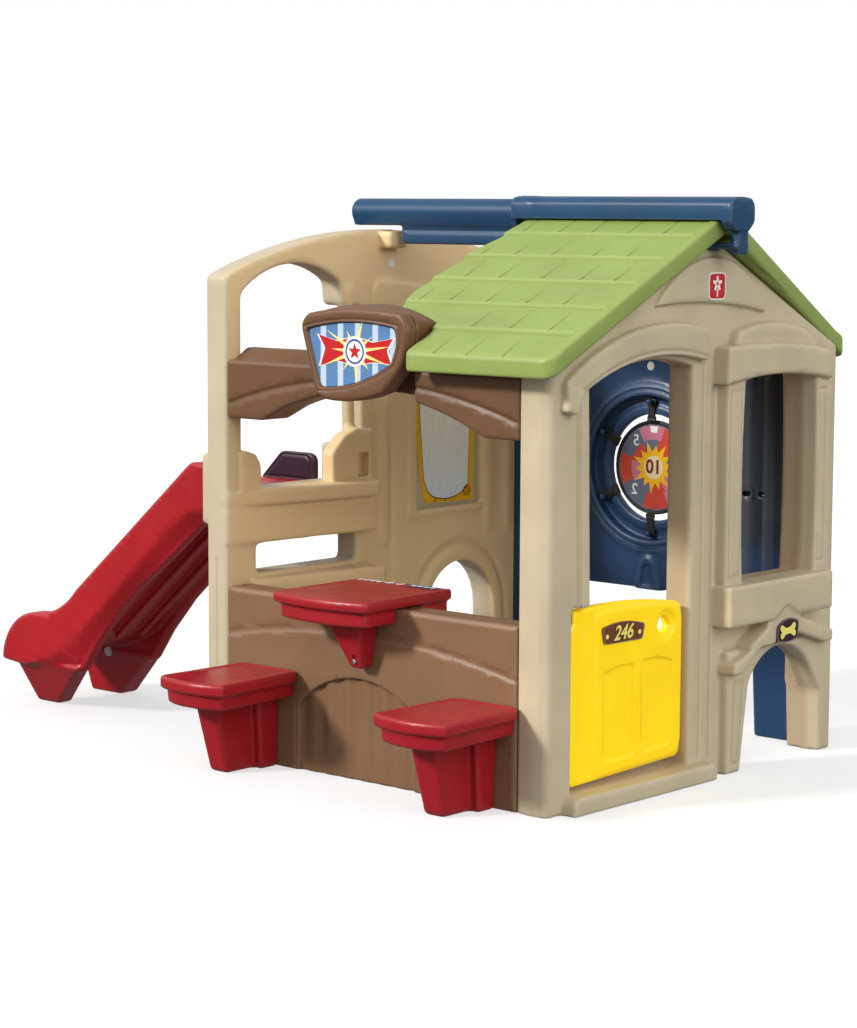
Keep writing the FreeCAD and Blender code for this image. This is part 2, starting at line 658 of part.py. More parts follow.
def plaques():
    """Number plate, pet plate, gable badge and the table's decal strip."""
    front = "hinge_x + leaf_thick / 2 + 8"
    number = piece("door_plaque")
    pad(number, "YZ_Plane", front, "3", [
        ("215", "392"), ("368", "390"), ("378", "427"), ("290", "442", "via"), ("206", "433")])
    bone = piece("pet_plaque")
    pad(bone, "YZ_Plane", "56", "5", [
        ("858", "329"), ("905", "323", "via"), ("954", "331"), ("958", "374"), ("906", "385", "via"),
        ("860", "367")])
    badge = piece("gable_badge")
    pad(badge, "YZ_Plane", "12", "3", rect("596", "1213", "667", "1281"))
    decal = piece("table_decal")
    pad(decal, "XY_Plane", "table_z", "0.8", rect("-780", "150", "-505", "190"))


def mirror():
    """Acrylic mirror behind a yellow printed frame, in the recess of the tower wall."""
    frame = piece("mirror_frame")
    pad(frame, "YZ_Plane", "tower_front - 20", "2", rect("722", "590", "982", "956"))
    film = piece("mirror_film")
    pad(film, "YZ_Plane", "tower_front - 18", "1", [
        ("758", "650"), ("800", "632"), ("868", "618"), ("940", "632"), ("966", "660"),
        ("966", "930"), ("862", "950", "via"), ("750", "930")])


def plugs():
    """White plugs that close the moulding vents."""
    spots = [
        (Vector(value("target_x"), value("back_in") + 5, 1000), Vector(0, -1, 0)),
        (Vector(value("tower_front") - 5, 633, 1284), Vector(1, 0, 0)),
    ]
    solids("vent_plugs", [Part.makeCylinder(12, 6.5, spot, way) for spot, way in spots])


def screw(spot, way):
    """A pan-head screw: its head stands on the surface at spot and its shank goes in, against way."""
    head = Part.makeCylinder(value("screw_head"), 3, spot, way)
    head = head.makeFillet(1.5, [head.Edges[0]])
    shank = Part.makeCylinder(value("screw_radius"), 18, spot, way * -1)
    return head.fuse(shank)


def screws():
    """Screws that hold the tower, the slide, the table and the walls together."""
    tower = []
    for y in (27, 480):
        tower.append(screw(Vector(value("tower_back") - 22, y, 726), Vector(-1, 0, 0)))
    tower.append(screw(Vector(value("tower_front") + 45, 626, 1348), Vector(1, 0, 0)))
    solids("tower_screws", tower)
    solids("table_screw", [screw(Vector(-586, -45, 316), Vector(0, -1, 0))])


def build():
    door_wall()
    slide_wall()
    low_wall()
    arch_beam()
    back_wall()
    roof_front()
    roof_back()
    ridge_beams()
    sign()
    stool("stool_left", "stool_left_x")
    stool("stool_right", "stool_right_x")
    table()
    half_door()
    hinge_pins()
    target_disc()
    target_hardware()
    slide()
    hand_wing()
    plaques()
    mirror()
    plugs()
    screws()


def place():
    """Move every piece so that the origin is on the floor under the middle of the toy."""
    for node in NODES:
        node.setExpression("Placement.Base.x", bind("-(min_x + max_x) / 2"))
        node.setExpression("Placement.Base.y", bind("-(min_y + max_y) / 2"))
    doc.recompute()


def save():
    """Check every object and sub-part, then write one STEP file per node."""
    for item in doc.Objects:
        if "Invalid" in item.State or "Error" in item.State:
            raise SystemExit(f"{item.Name} failed: {item.State}")
    os.makedirs("parts", exist_ok=True)
    for node in NODES:
        if node.Shape.isNull() or not node.Shape.isValid():
            raise SystemExit(f"{node.Label} has no valid shape")
        node.Shape.exportStep(f"parts/{node.Label}.step")
        box = node.Shape.BoundBox
        print(f"{node.Label:18s} solids {len(node.Shape.Solids)} litres {node.Shape.Volume / 1e6:8.3f} "
              f"x {box.XMin:7.0f} {box.XMax:7.0f} y {box.YMin:7.0f} {box.YMax:7.0f} "
              f"z {box.ZMin:6.0f} {box.ZMax:6.0f}")


build()
place()
save()
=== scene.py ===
"""Looks of the plastic playhouse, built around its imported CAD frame.

Every moulded piece is grown on a grid of signed distances (class Clay), so that its edges are round and its
raised parts run into it with a fillet, as in a rotational moulding. Lengths are millimetres in the house
frame: X = 0 is the outer face of the door wall, with the slide towards -X; Y = 0 is the outer face of the
counter side; Z = 0 is the floor. HOUSE carries that frame into the CAD's own.
"""
import math

import bpy
import numpy as np
import openvdb
from mathutils import Euler, Matrix, Vector


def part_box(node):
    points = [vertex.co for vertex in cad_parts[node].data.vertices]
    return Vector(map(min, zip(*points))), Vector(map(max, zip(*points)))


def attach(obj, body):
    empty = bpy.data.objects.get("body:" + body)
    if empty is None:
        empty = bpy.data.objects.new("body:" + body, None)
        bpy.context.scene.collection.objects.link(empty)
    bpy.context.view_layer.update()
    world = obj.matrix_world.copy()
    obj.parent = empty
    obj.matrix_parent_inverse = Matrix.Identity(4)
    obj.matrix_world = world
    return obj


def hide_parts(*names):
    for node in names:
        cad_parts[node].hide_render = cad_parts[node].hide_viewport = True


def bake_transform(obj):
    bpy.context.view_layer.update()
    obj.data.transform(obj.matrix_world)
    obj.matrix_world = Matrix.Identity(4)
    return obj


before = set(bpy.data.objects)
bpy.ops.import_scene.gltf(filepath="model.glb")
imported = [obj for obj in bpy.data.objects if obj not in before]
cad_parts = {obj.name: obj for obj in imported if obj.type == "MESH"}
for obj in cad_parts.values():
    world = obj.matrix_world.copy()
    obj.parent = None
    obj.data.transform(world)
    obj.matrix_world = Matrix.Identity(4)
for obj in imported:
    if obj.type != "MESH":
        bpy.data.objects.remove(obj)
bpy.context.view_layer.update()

WALL = 100.0
HOUSE = Vector((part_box("door_wall")[0].x + WALL / 1000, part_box("door_wall")[0].y, 0))
LEFT, RIGHT = -1082.5, -100.5       # ends of the pieces held between the two end walls
TARGET = (-582, 714)                # middle of the toss target, across and up
FULL = 2 * math.pi
ARC_STEPS = 14                      # pieces of a drawn arc
CORNER_STEPS = 5                    # pieces of a softened corner
STRAIGHT = -0.94                    # corners flatter than this cosine stay as they are
FAR = 1e4                           # distance that stands for nowhere near
BAND = 3.0                          # cells of exact distance kept either side of a surface
ADAPTIVITY = 0.1                    # how far flat areas may be meshed coarser
AXES = {"x": (1, 2), "y": (0, 2), "z": (0, 1)}


# ---------------------------------------------------------------- outlines


def arc(start, middle, end):
    """Points from start towards end on the circle through the three."""
    (ax, ay), (bx, by), (cx, cy) = start, middle, end
    d = 2 * (ax * (by - cy) + bx * (cy - ay) + cx * (ay - by))
    if abs(d) < 1e-6:
        return [start, middle]
    a2, b2, c2 = ax * ax + ay * ay, bx * bx + by * by, cx * cx + cy * cy
    ox = (a2 * (by - cy) + b2 * (cy - ay) + c2 * (ay - by)) / d
    oy = (a2 * (cx - bx) + b2 * (ax - cx) + c2 * (bx - ax)) / d
    turn = [math.atan2(y - oy, x - ox) for x, y in (start, middle, end)]
    sweep, half = (turn[2] - turn[0]) % FULL, (turn[1] - turn[0]) % FULL
    if half > sweep:
        sweep -= FULL
    reach = math.hypot(ax - ox, ay - oy)
    angles = [turn[0] + sweep * i / ARC_STEPS for i in range(ARC_STEPS)]
    return [(ox + reach * math.cos(a), oy + reach * math.sin(a)) for a in angles]


def curve(points, closed=True):
    """Corners as a polyline; a point with a third entry is the middle of an arc between its neighbours."""
    result = []
    for index, point in enumerate(points):
        if len(point) == 3:
            continue
        after = points[(index + 1) % len(points)]
        if len(after) == 3 and (closed or index + 2 < len(points)):
            result += arc(point, after[:2], points[(index + 2) % len(points)])
        else:
            result.append(tuple(point))
    return result


def soften(points, reach):
    """The closed outline with each real corner rounded off over reach on both sides."""
    corners = [np.array(p, float) for p in curve(points)]
    result = []
    for index, corner in enumerate(corners):
        before, after = corners[index - 1] - corner, corners[(index + 1) % len(corners)] - corner
        near, far = np.linalg.norm(before), np.linalg.norm(after)
        if min(near, far) < 1e-6:
            continue
        if before @ after / (near * far) < STRAIGHT:
            result.append(tuple(corner))
            continue
        start = corner + before * min(reach / near, 0.45)
        end = corner + after * min(reach / far, 0.45)
        for step in range(CORNER_STEPS + 1):
            t = step / CORNER_STEPS
            result.append(tuple((1 - t) ** 2 * start + 2 * t * (1 - t) * corner + t * t * end))
    return result


def rect(u0, v0, u1, v1):
    return [(u0, v0), (u1, v0), (u1, v1), (u0, v1)]


def ring(u, v, radius, steps=72):
    turns = (FULL * step / steps for step in range(steps))
    return [(u + radius * math.cos(turn), v + radius * math.sin(turn)) for turn in turns]


def grow(points, factor):
    """The outline made larger or smaller about its middle."""
    loop = np.array(curve(points))
    middle = (loop.max(0) + loop.min(0)) / 2
    return [tuple(p) for p in middle + (loop - middle) * factor]


def star(u, v, inner, outer, tips, turn=0.0, uneven=0.0):
    """A burst of pointed rays."""
    result = []
    for index in range(2 * tips):
        angle = turn + FULL * index / (2 * tips)
        reach = inner if index % 2 else outer * (1 - uneven * (index // 2 % 2))
        result.append((u + reach * math.cos(angle), v + reach * math.sin(angle)))
    return result


def distance(u, v, loops, closed=True):
    """Distance from each (u, v) to the loops; below zero inside closed ones."""
    u, v = np.broadcast_arrays(u, v)
    best = np.full(u.shape, 1e12, np.float32)
    inside = np.zeros(u.shape, bool)
    for loop in loops:
        points = np.array(loop, np.float32)
        ends = np.roll(points, -1, axis=0) if closed else points[1:]
        for (au, av), (bu, bv) in zip(points, ends):
            du, dv = bu - au, bv - av
            share = np.clip(((u - au) * du + (v - av) * dv) / max(du * du + dv * dv, 1e-9), 0, 1)
            best = np.minimum(best, (u - au - share * du) ** 2 + (v - av - share * dv) ** 2)
            if closed and dv != 0:
                inside ^= ((v >= av) != (v >= bv)) & (u < au + (v - av) / dv * du)
    best = np.sqrt(best)
    return np.where(inside, -best, best) if closed else best


# ---------------------------------------------------------------- clay


class Clay:
    """A solid on a grid of signed distances that becomes a mesh with rounded edges."""

    def __init__(self, low, high, cell):
        self.cell = cell * 1
        margin = BAND * self.cell
        self.axes = [np.arange(a - margin, b + margin + self.cell, self.cell, dtype=np.float32)
                     for a, b in zip(low, high)]
        self.field = np.full([len(a) for a in self.axes], FAR, np.float32)

    def part(self, low, high, pad):
        """The slice of the grid near a box, and its coordinates shaped for arithmetic."""
        window, lines = [], []
        for axis, (a, b) in enumerate(zip(low, high)):
            line = self.axes[axis]
            first = min(int(np.searchsorted(line, a - pad)), len(line) - 1)
            last = max(int(np.searchsorted(line, b + pad)), first + 1)
            window.append(slice(first, last))
            shape = [1, 1, 1]
            shape[axis] = -1
            lines.append(line[first:last].reshape(shape))
        return tuple(window), lines

    def near(self, plane, loops, start, end, pad):
        """The slice of the grid near outlines on a plane, with its u, v and w coordinates."""
        axis = "xyz".index(plane)
        first, second = AXES[plane]
        every = np.array([point for loop in loops for point in loop])
        low, high = [0.0] * 3, [0.0] * 3
        low[axis], high[axis] = start, end
        low[first], low[second] = every.min(0)
        high[first], high[second] = every.max(0)
        window, lines = self.part(low, high, pad)
        return window, lines[first], lines[second], lines[axis]

    def put(self, window, solid, join, cut):
        """Join a solid to the clay, or cut it away, with a fillet of about join."""
        here = self.field[window]
        sign = -1 if cut else 1
        mine, other = sign * here, solid
        low = np.minimum(mine, other)
        if join > 0:
            near = np.maximum(join - np.abs(mine - other), 0) / join
            low = low - near * near * join * 0.25
        self.field[window] = sign * low

    def slab(self, plane, loops, start, end, edge=8, join=0, cut=False, draft=0.0, soft=6, lift=None,
             into=None):
        """A plate that fills loops drawn on a plane, from start to end along the plane's axis.

        edge rounds its rims, soft its plan corners, draft leans its sides in, and lift(u, v) adds to its end.
        With into, its outline turns into that one on the way to its end.
        """
        loops = loops if isinstance(loops[0], list) else [loops]
        loops = [soften(loop, soft) if soft else curve(loop) for loop in loops]
        goal = [soften(into, soft)] if into else []
        window, u, v, w = self.near(plane, loops + goal, start, end, join + BAND * self.cell)
        flat = distance(u, v, loops)
        if into:
            share = np.clip((w - start) / (end - start), 0, 1)
            flat = flat * (1 - share) + distance(u, v, goal) * share
        top = end + (lift(u, v) if lift else 0)
        edge = min(edge, 0.48 * (end - start))
        across = flat + edge + draft * (w - start)
        along = np.maximum(w - top, start - w) + edge
        outer = np.hypot(np.maximum(across, 0), np.maximum(along, 0))
        self.put(window, np.minimum(np.maximum(across, along), 0) + outer - edge, join, cut)

    def line(self, plane, path, depth, width=7, height=3.5, join=3, cut=True, closed=False):
        """A round groove, or a bead, along a path on the face at depth."""
        path = curve(path, closed)
        path += path[:1] if closed else []
        window, u, v, w = self.near(plane, [path], depth, depth, join + width + height + BAND * self.cell)
        flat = distance(u, v, [path], closed=False)
        rise = np.abs(w - depth)
        self.put(window, np.hypot(flat * (2 * height / width), rise) - height, join, cut)

    def block(self, low, high, edge=8, join=0, cut=False, top=None):
        """A rounded box from low to high; top = (x0, y0, x1, y1) is its rectangle at the upper end."""
        near = top or (low[0], low[1], high[0], high[1])
        bottom = [min(low[0], near[0]), min(low[1], near[1]), low[2]]
        upper = [max(high[0], near[2]), max(high[1], near[3]), high[2]]
        window, (x, y, z) = self.part(bottom, upper, join + BAND * self.cell)
        share = np.clip((z - low[2]) / (high[2] - low[2]), 0, 1)
        outs = []
        for line, axis in ((x, 0), (y, 1)):
            left = low[axis] + (near[axis] - low[axis]) * share
            right = high[axis] + (near[axis + 2] - high[axis]) * share
            outs.append(np.abs(line - (left + right) / 2) - (right - left) / 2 + edge)
        outs.append(np.abs(z - (low[2] + high[2]) / 2) - (high[2] - low[2]) / 2 + edge)
        inner = np.minimum(np.maximum(np.maximum(outs[0], outs[1]), outs[2]), 0)
        outer = np.sqrt(sum(np.maximum(o, 0) ** 2 for o in outs))
        self.put(window, inner + outer - edge, join, cut)

    def rod(self, start, end, radius, join=0, cut=False, stretch=(1, 1, 1)):
        """A round bar with round ends; stretch squeezes distances along each axis."""
        scale = np.array(stretch, np.float32)
        a, b = np.array(start, np.float32), np.array(end, np.float32)
        widest = radius / scale.min()
        low, high = np.minimum(a, b) - widest, np.maximum(a, b) + widest
        window, lines = self.part(low, high, join + BAND * self.cell)
        a, b = a * scale, b * scale
        run = b - a
        offs = [line * s - c for line, s, c in zip(lines, scale, a)]
        share = np.clip(sum(o * r for o, r in zip(offs, run)) / max(float(run @ run), 1e-9), 0, 1)
        solid = np.sqrt(sum((o - share * r) ** 2 for o, r in zip(offs, run))) - radius
        self.put(window, solid, join, cut)

    def mesh(self, name, material, place=None):
        """The clay's surface as a smooth object; place carries it from its own frame to the house's."""
        limit = BAND * self.cell
        field = np.clip(self.field, -limit, limit)
        grid = openvdb.FloatGrid(limit)
        grid.copyFromArray(field)
        points, triangles, quads = grid.convertToPolygons(0.0, ADAPTIVITY)
        slopes, edge = relief(field, points)
        co = points * self.cell + np.array([axis[0] for axis in self.axes], np.float32)
        if place is not None:
            turn = np.array(place.to_3x3(), np.float32)
            co = co @ turn.T + np.array(place.translation, np.float32)
            slopes = slopes @ np.linalg.inv(turn)
            slopes /= np.linalg.norm(slopes, axis=1, keepdims=True)
        co[:, 2] = np.maximum(co[:, 2], 0)
        faces = quads.tolist() + triangles.tolist()
        mesh = bpy.data.meshes.new(name)
        mesh.from_pydata((co / 1000 + np.array(HOUSE, np.float32)).tolist(), [], faces)
        if signed_volume(mesh) < 0:
            mesh.flip_normals()
        mesh.shade_smooth()
        mesh.normals_split_custom_set_from_vertices(slopes.tolist())
        mesh.attributes.new("edge", "FLOAT", "POINT").data.foreach_set("value", edge.astype(np.float32))
        mesh.materials.append(material)
        piece = bpy.data.objects.new(name, mesh)
        bpy.context.scene.collection.objects.link(piece)
        return piece


def relief(field, points):
    """Unit normals of the surface, and how far it bends out (above 0) or in (below 0) at each point."""
    reach = 1.2
    slopes = np.zeros_like(points)
    total = np.zeros(len(points), np.float32)
    for axis in range(3):
        for sign in (-1, 1):
            moved = points.copy()
            moved[:, axis] += sign * reach
            here = sample(field, moved)
            slopes[:, axis] += sign * here
            total += here
    length = np.linalg.norm(slopes, axis=1, keepdims=True)
    return slopes / np.maximum(length, 1e-6), np.clip(total - 6 * sample(field, points), -3, 3) / 3


def sample(field, points):
    """Values of the field between its grid points."""
    size = np.array(field.shape) - 2
    base = np.clip(np.floor(points).astype(int), 0, size)
    part = np.clip(points - base, 0, 1)
    total = np.zeros(len(points), np.float32)
    for corner in range(8):
        bits = [(corner >> k) & 1 for k in range(3)]
        weight = np.ones(len(points), np.float32)
        for k in range(3):
            weight *= part[:, k] if bits[k] else 1 - part[:, k]
        total += weight * field[base[:, 0] + bits[0], base[:, 1] + bits[1], base[:, 2] + bits[2]]
    return total


def signed_volume(mesh):
    """Volume of the mesh, below zero if its faces point inwards."""
    mesh.calc_loop_triangles()
    co = np.empty(len(mesh.vertices) * 3, np.float32)
    mesh.vertices.foreach_get("co", co)
    corners = np.empty(len(mesh.loop_triangles) * 3, np.int32)
    mesh.loop_triangles.foreach_get("vertices", corners)
    a, b, c = (co.reshape(-1, 3)[corners.reshape(-1, 3)[:, k]] for k in range(3))
    return float(np.einsum("ij,ij->i", a, np.cross(b, c)).sum())


# ---------------------------------------------------------------- materials


def linear(colour):
    """An sRGB colour of 0-255 as the linear values that shaders use."""
    def one(c):
        c /= 255
        return c / 12.92 if c <= 0.04045 else ((c + 0.055) / 1.055) ** 2.4
    return tuple(one(c) for c in colour) + (1.0,)


class Nodes:
    """A material being wired."""

    def __init__(self, name):
        self.material = bpy.data.materials.new(name)
        self.material.use_nodes = True
        self.tree = self.material.node_tree
        self.shader = self.tree.nodes["Principled BSDF"]
        self.place = self.add("ShaderNodeTexCoord").outputs["Object"]

    def add(self, kind, **settings):
        node = self.tree.nodes.new(kind)
        for key, value in settings.items():
            setattr(node, key, value)
        return node

    def wire(self, source, target):
        self.tree.links.new(source, target)

    def noise(self, scale, detail=2.0, stretch=(1, 1, 1), rough=0.5):
        """Noise in the object's own space; scale is in features per metre."""
        mapping = self.add("ShaderNodeMapping")
        mapping.inputs["Scale"].default_value = stretch
        self.wire(self.place, mapping.inputs["Vector"])
        node = self.add("ShaderNodeTexNoise")
        node.inputs["Scale"].default_value = scale
        node.inputs["Detail"].default_value = detail
        node.inputs["Roughness"].default_value = rough
        self.wire(mapping.outputs["Vector"], node.inputs["Vector"])
        return node.outputs["Fac"]

    def range(self, source, low, high, to_low=0.0, to_high=1.0):
        node = self.add("ShaderNodeMapRange")
        for name, value in (("From Min", low), ("From Max", high), ("To Min", to_low), ("To Max", to_high)):
            node.inputs[name].default_value = value
        self.wire(source, node.inputs["Value"])
        return node.outputs["Result"]

    def mix(self, share, first, second):
        """Colour between first and second; each is a socket or a colour."""
        node = self.add("ShaderNodeMix", data_type="RGBA")
        for name, value in (("A", first), ("B", second)):
            target = [s for s in node.inputs if s.name == name and s.type == "RGBA"][0]
            if isinstance(value, tuple):
                target.default_value = value
            else:
                self.wire(value, target)
        self.wire(share, [s for s in node.inputs if s.name == "Factor" and s.type == "VALUE"][0])
        return [s for s in node.outputs if s.type == "RGBA"][0]

    def along(self, name):
        """The object's own X, Y or Z coordinate."""
        node = self.add("ShaderNodeSeparateXYZ")
        self.wire(self.place, node.inputs["Vector"])
        return node.outputs[name]

    def bump(self, height, strength, distance, under=None):
        """Relief from a height, on top of another relief if there is one."""
        node = self.add("ShaderNodeBump")
        node.inputs["Strength"].default_value = strength
        node.inputs["Distance"].default_value = distance
        self.wire(height, node.inputs["Height"])
        if under:
            self.wire(under, node.inputs["Normal"])
        return node.outputs["Normal"]

    def math(self, operation, first, second):
        node = self.add("ShaderNodeMath", operation=operation)
        for socket, value in zip(node.inputs, (first, second)):
            if isinstance(value, (int, float)):
                socket.default_value = value
            else:
                self.wire(value, socket)
        return node.outputs["Value"]


def shade(colour, factor):
    return tuple(min(max(c * factor, 0), 1) for c in colour[:3]) + (1.0,)


def plastic(name, colour, rough=0.44, grain=1.0, wear=0.08, cloudy=0.06, pattern=None, inside=None,
            painted_glow=0.0):
    """Moulded plastic: fine orange-peel grain, cloudy colour, paler edges, painted shade in the creases,
    uneven sheen.

    inside = (colour, x, y, z) is painted light and shade: it tints the colour where all the ranges (from, to,
    share at from, share at to), in house millimetres, say so, for light that has bounced about in the house
    or shade that falls there.
    """
    n = Nodes(name)
    base = linear(colour)
    cloud = n.range(n.noise(6.5, 3), 0.32, 0.68)
    body = n.mix(cloud, shade(base, 1 - cloudy), shade(base, 1 + cloudy))
    # painted light and shade: a tint where the house's bounced light and shade would fall
    if inside:
        tint, *ranges = inside
        painted_indoor_light_share = 1.0
        for axis, origin, (start, end, at_start, at_end) in zip("XYZ", HOUSE, ranges):
            share = n.range(n.along(axis), origin + start / 1000, origin + end / 1000, at_start, at_end)
            painted_indoor_light_share = n.math("MULTIPLY", share, painted_indoor_light_share)
        body = n.mix(painted_indoor_light_share, body, linear(tint))
    if pattern:
        body = pattern(n, body)
    speck = n.range(n.noise(900, 1), 0.60, 0.72, 0.0, 0.10)
    body = n.mix(speck, body, shade(base, 0.72))
    bend = n.add("ShaderNodeAttribute", attribute_name="edge").outputs["Fac"]
    worn = n.range(bend, 0.12, 0.8, 0.0, wear)
    pale = tuple(c + (1 - c) * 0.45 for c in base[:3]) + (1.0,)
    body = n.mix(worn, body, pale)
    # painted shade: inward bends darkened towards half the colour
    painted_crease_shade = n.range(bend, -0.12, -0.6, 0.0, 0.30)
    body = n.mix(painted_crease_shade, body, shade(base, 0.5))
    n.wire(body, n.shader.inputs["Base Color"])
    uneven = n.range(n.noise(22, 4), 0.3, 0.7, rough - 0.05, rough + 0.06)
    n.wire(n.math("ADD", uneven, n.math("MULTIPLY", worn, 0.3)), n.shader.inputs["Roughness"])
    n.shader.inputs["Specular IOR Level"].default_value = 0.40
    # painted glow: the plastic gives off light of its own colour, though it is no lamp
    if painted_glow:
        n.shader.inputs["Emission Color"].default_value = base
        n.shader.inputs["Emission Strength"].default_value = painted_glow
    sway = n.bump(n.noise(9, 1), 0.05 * grain, 0.006)
    n.wire(n.bump(n.noise(330, 3), 0.10 * grain, 0.0016, sway), n.shader.inputs["Normal"])
    return n.material


def metal(name, colour, rough):
    """Bright plated steel with fine turning marks."""
    n = Nodes(name)
    base = linear(colour)
    n.wire(n.mix(n.noise(260, 2), shade(base, 0.85), base), n.shader.inputs["Base Color"])
    n.shader.inputs["Metallic"].default_value = 1.0
    n.wire(n.range(n.noise(400, 2), 0.3, 0.7, rough, rough + 0.15), n.shader.inputs["Roughness"])
    return n.material


def stripes(n, body):
    """Light upright stripes of a printed sheet, across its X."""
    wave = n.math("SINE", n.math("MULTIPLY", n.along("X"), 108.0), 0.0)
    return n.mix(n.range(wave, 0.48, 0.58), body, linear((196, 214, 232)))


def mirror_film(name):
    """Soft acrylic mirror, its reflection painted into the colour: pale upright brushed streaks, a painted
    blue reflection towards its foot, a faint painted glow, and a hazed reflection.
    """
    n = Nodes(name)
    fine = n.mix(n.range(n.noise(30, 2, stretch=(1, 9, 0.25)), 0.3, 0.7), linear((226, 216, 190)),
                 linear((246, 240, 224)))
    # painted reflection: bluer towards the foot of the film
    foot = n.range(n.along("Z"), 0.62, 0.82, 0.75, 0.0)
    n.wire(n.mix(foot, fine, linear((190, 204, 226))), n.shader.inputs["Base Color"])
    n.shader.inputs["Metallic"].default_value = 0.05
    n.wire(n.range(n.noise(30, 3), 0.3, 0.7, 0.26, 0.36), n.shader.inputs["Roughness"])
    # painted glow: the film gives off a faint light of its own
    n.shader.inputs["Emission Color"].default_value = (0.80, 0.76, 0.66, 1)
    n.shader.inputs["Emission Strength"].default_value = 0.08
    n.wire(n.bump(n.noise(16, 2, stretch=(1, 4, 0.4)), 0.12, 0.004), n.shader.inputs["Normal"])
    return n.material


# door wall sand; painted shade: a darker, warmer tint behind the outer face, on the reveals and inner face
SAND = plastic("sand_plastic", (198, 184, 154),
               inside=((186, 165, 134), (-18, -3, 1, 0), (3, 16, 0, 1)))
# sand again for the tower wall; painted bounced light: a warmer tint on its inner face and what stands on it
SAND_PAINTED_INDOOR_LIGHT = plastic("tan_plastic", (195, 182, 154), inside=((232, 200, 150), (-1095, -1081, 0, 1), (1, 12, 0, 1)))
BROWN = plastic("brown_plastic", (128, 96, 68))
# painted shade: a darker copy of the brown for the arch beam and sign, shaded by the roof
BROWN_PAINTED_SHADE = plastic("brown_plastic_painted_shade", (108, 74, 47))
# painted shade: the upper inner face of the blue wall darkened near the door wall
NAVY = plastic("navy_plastic", (34, 66, 104), rough=0.36,
               inside=((18, 26, 38), (-520, -350, 0, 0.95), (1160, 1212, 1, 0), (430, 560, 0, 1)))
GREEN = plastic("green_plastic", (140, 159, 82))
BLUE = plastic("blue_plastic", (22, 66, 102), rough=0.38)
RED = plastic("red_plastic", (168, 20, 30), rough=0.34, grain=0.7, wear=0.05)
CRIMSON = plastic("crimson_plastic", (158, 22, 32), rough=0.34, grain=0.7, wear=0.05)
# painted glow: the yellow gives off light to look brighter
YELLOW = plastic("yellow_plastic", (255, 214, 8), rough=0.32, grain=0.6, wear=0.04, cloudy=0.04, painted_glow=0.22)
PLUM = plastic("plum_plastic", (46, 15, 38), rough=0.4)
BLACK = plastic("black_elastic", (24, 24, 26), rough=0.5, grain=0.5, wear=0.03)
WHITE = plastic("white_plastic", (226, 224, 218), rough=0.4, grain=0.4, wear=0.03, cloudy=0.02)
STEEL = metal("steel", (205, 206, 208), 0.22)
FILM_PAINTED_REFLECTION = mirror_film("mirror_film")


def ink(name, colour, pattern=None, rough=0.3):
    return plastic(name, colour, rough=rough, grain=0.25, wear=0.0, cloudy=0.04, pattern=pattern)


INK_SKY = ink("ink_sky", (92, 132, 180), pattern=stripes)
INK_WHITE = ink("ink_white", (240, 240, 236))
INK_RED = ink("ink_red", (196, 32, 38))
INK_PALE = ink("ink_pale_yellow", (250, 236, 140))
INK_YELLOW = ink("ink_yellow", (240, 184, 30))
INK_BLACK = ink("ink_black", (22, 22, 24))
INK_BROWN = ink("ink_brown", (112, 60, 32))
INK_PURPLE = ink("ink_purple", (50, 18, 44))
INK_RUST = ink("ink_rust", (128, 52, 44))
INK_LILAC = ink("ink_lilac", (150, 138, 150))
INK_BUTTER = ink("ink_butter", (246, 232, 120))
INK_CREAM = ink("ink_cream", (236, 218, 176))
INK_PINK = ink("ink_pink", (196, 122, 146))
INK_SLATE = ink("ink_slate", (98, 108, 130))
INK_ORANGE = ink("ink_orange", (204, 72, 58))
INK_BLUE = ink("ink_blue", (58, 92, 150))
INK_GOLD = ink("ink_gold", (206, 160, 62))


def settle(piece, node, body="house"):
    """Let a piece stand for a CAD node: it rides on the body, and the node is hidden."""
    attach(piece, body)
    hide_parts(node)


def cast(clay, node, material, body="house", place=None):
    """Turn clay into the piece that stands for a CAD node, in the material given."""
    settle(clay.mesh(node + "_form", material, place), node, body)


# ---------------------------------------------------------------- house shell


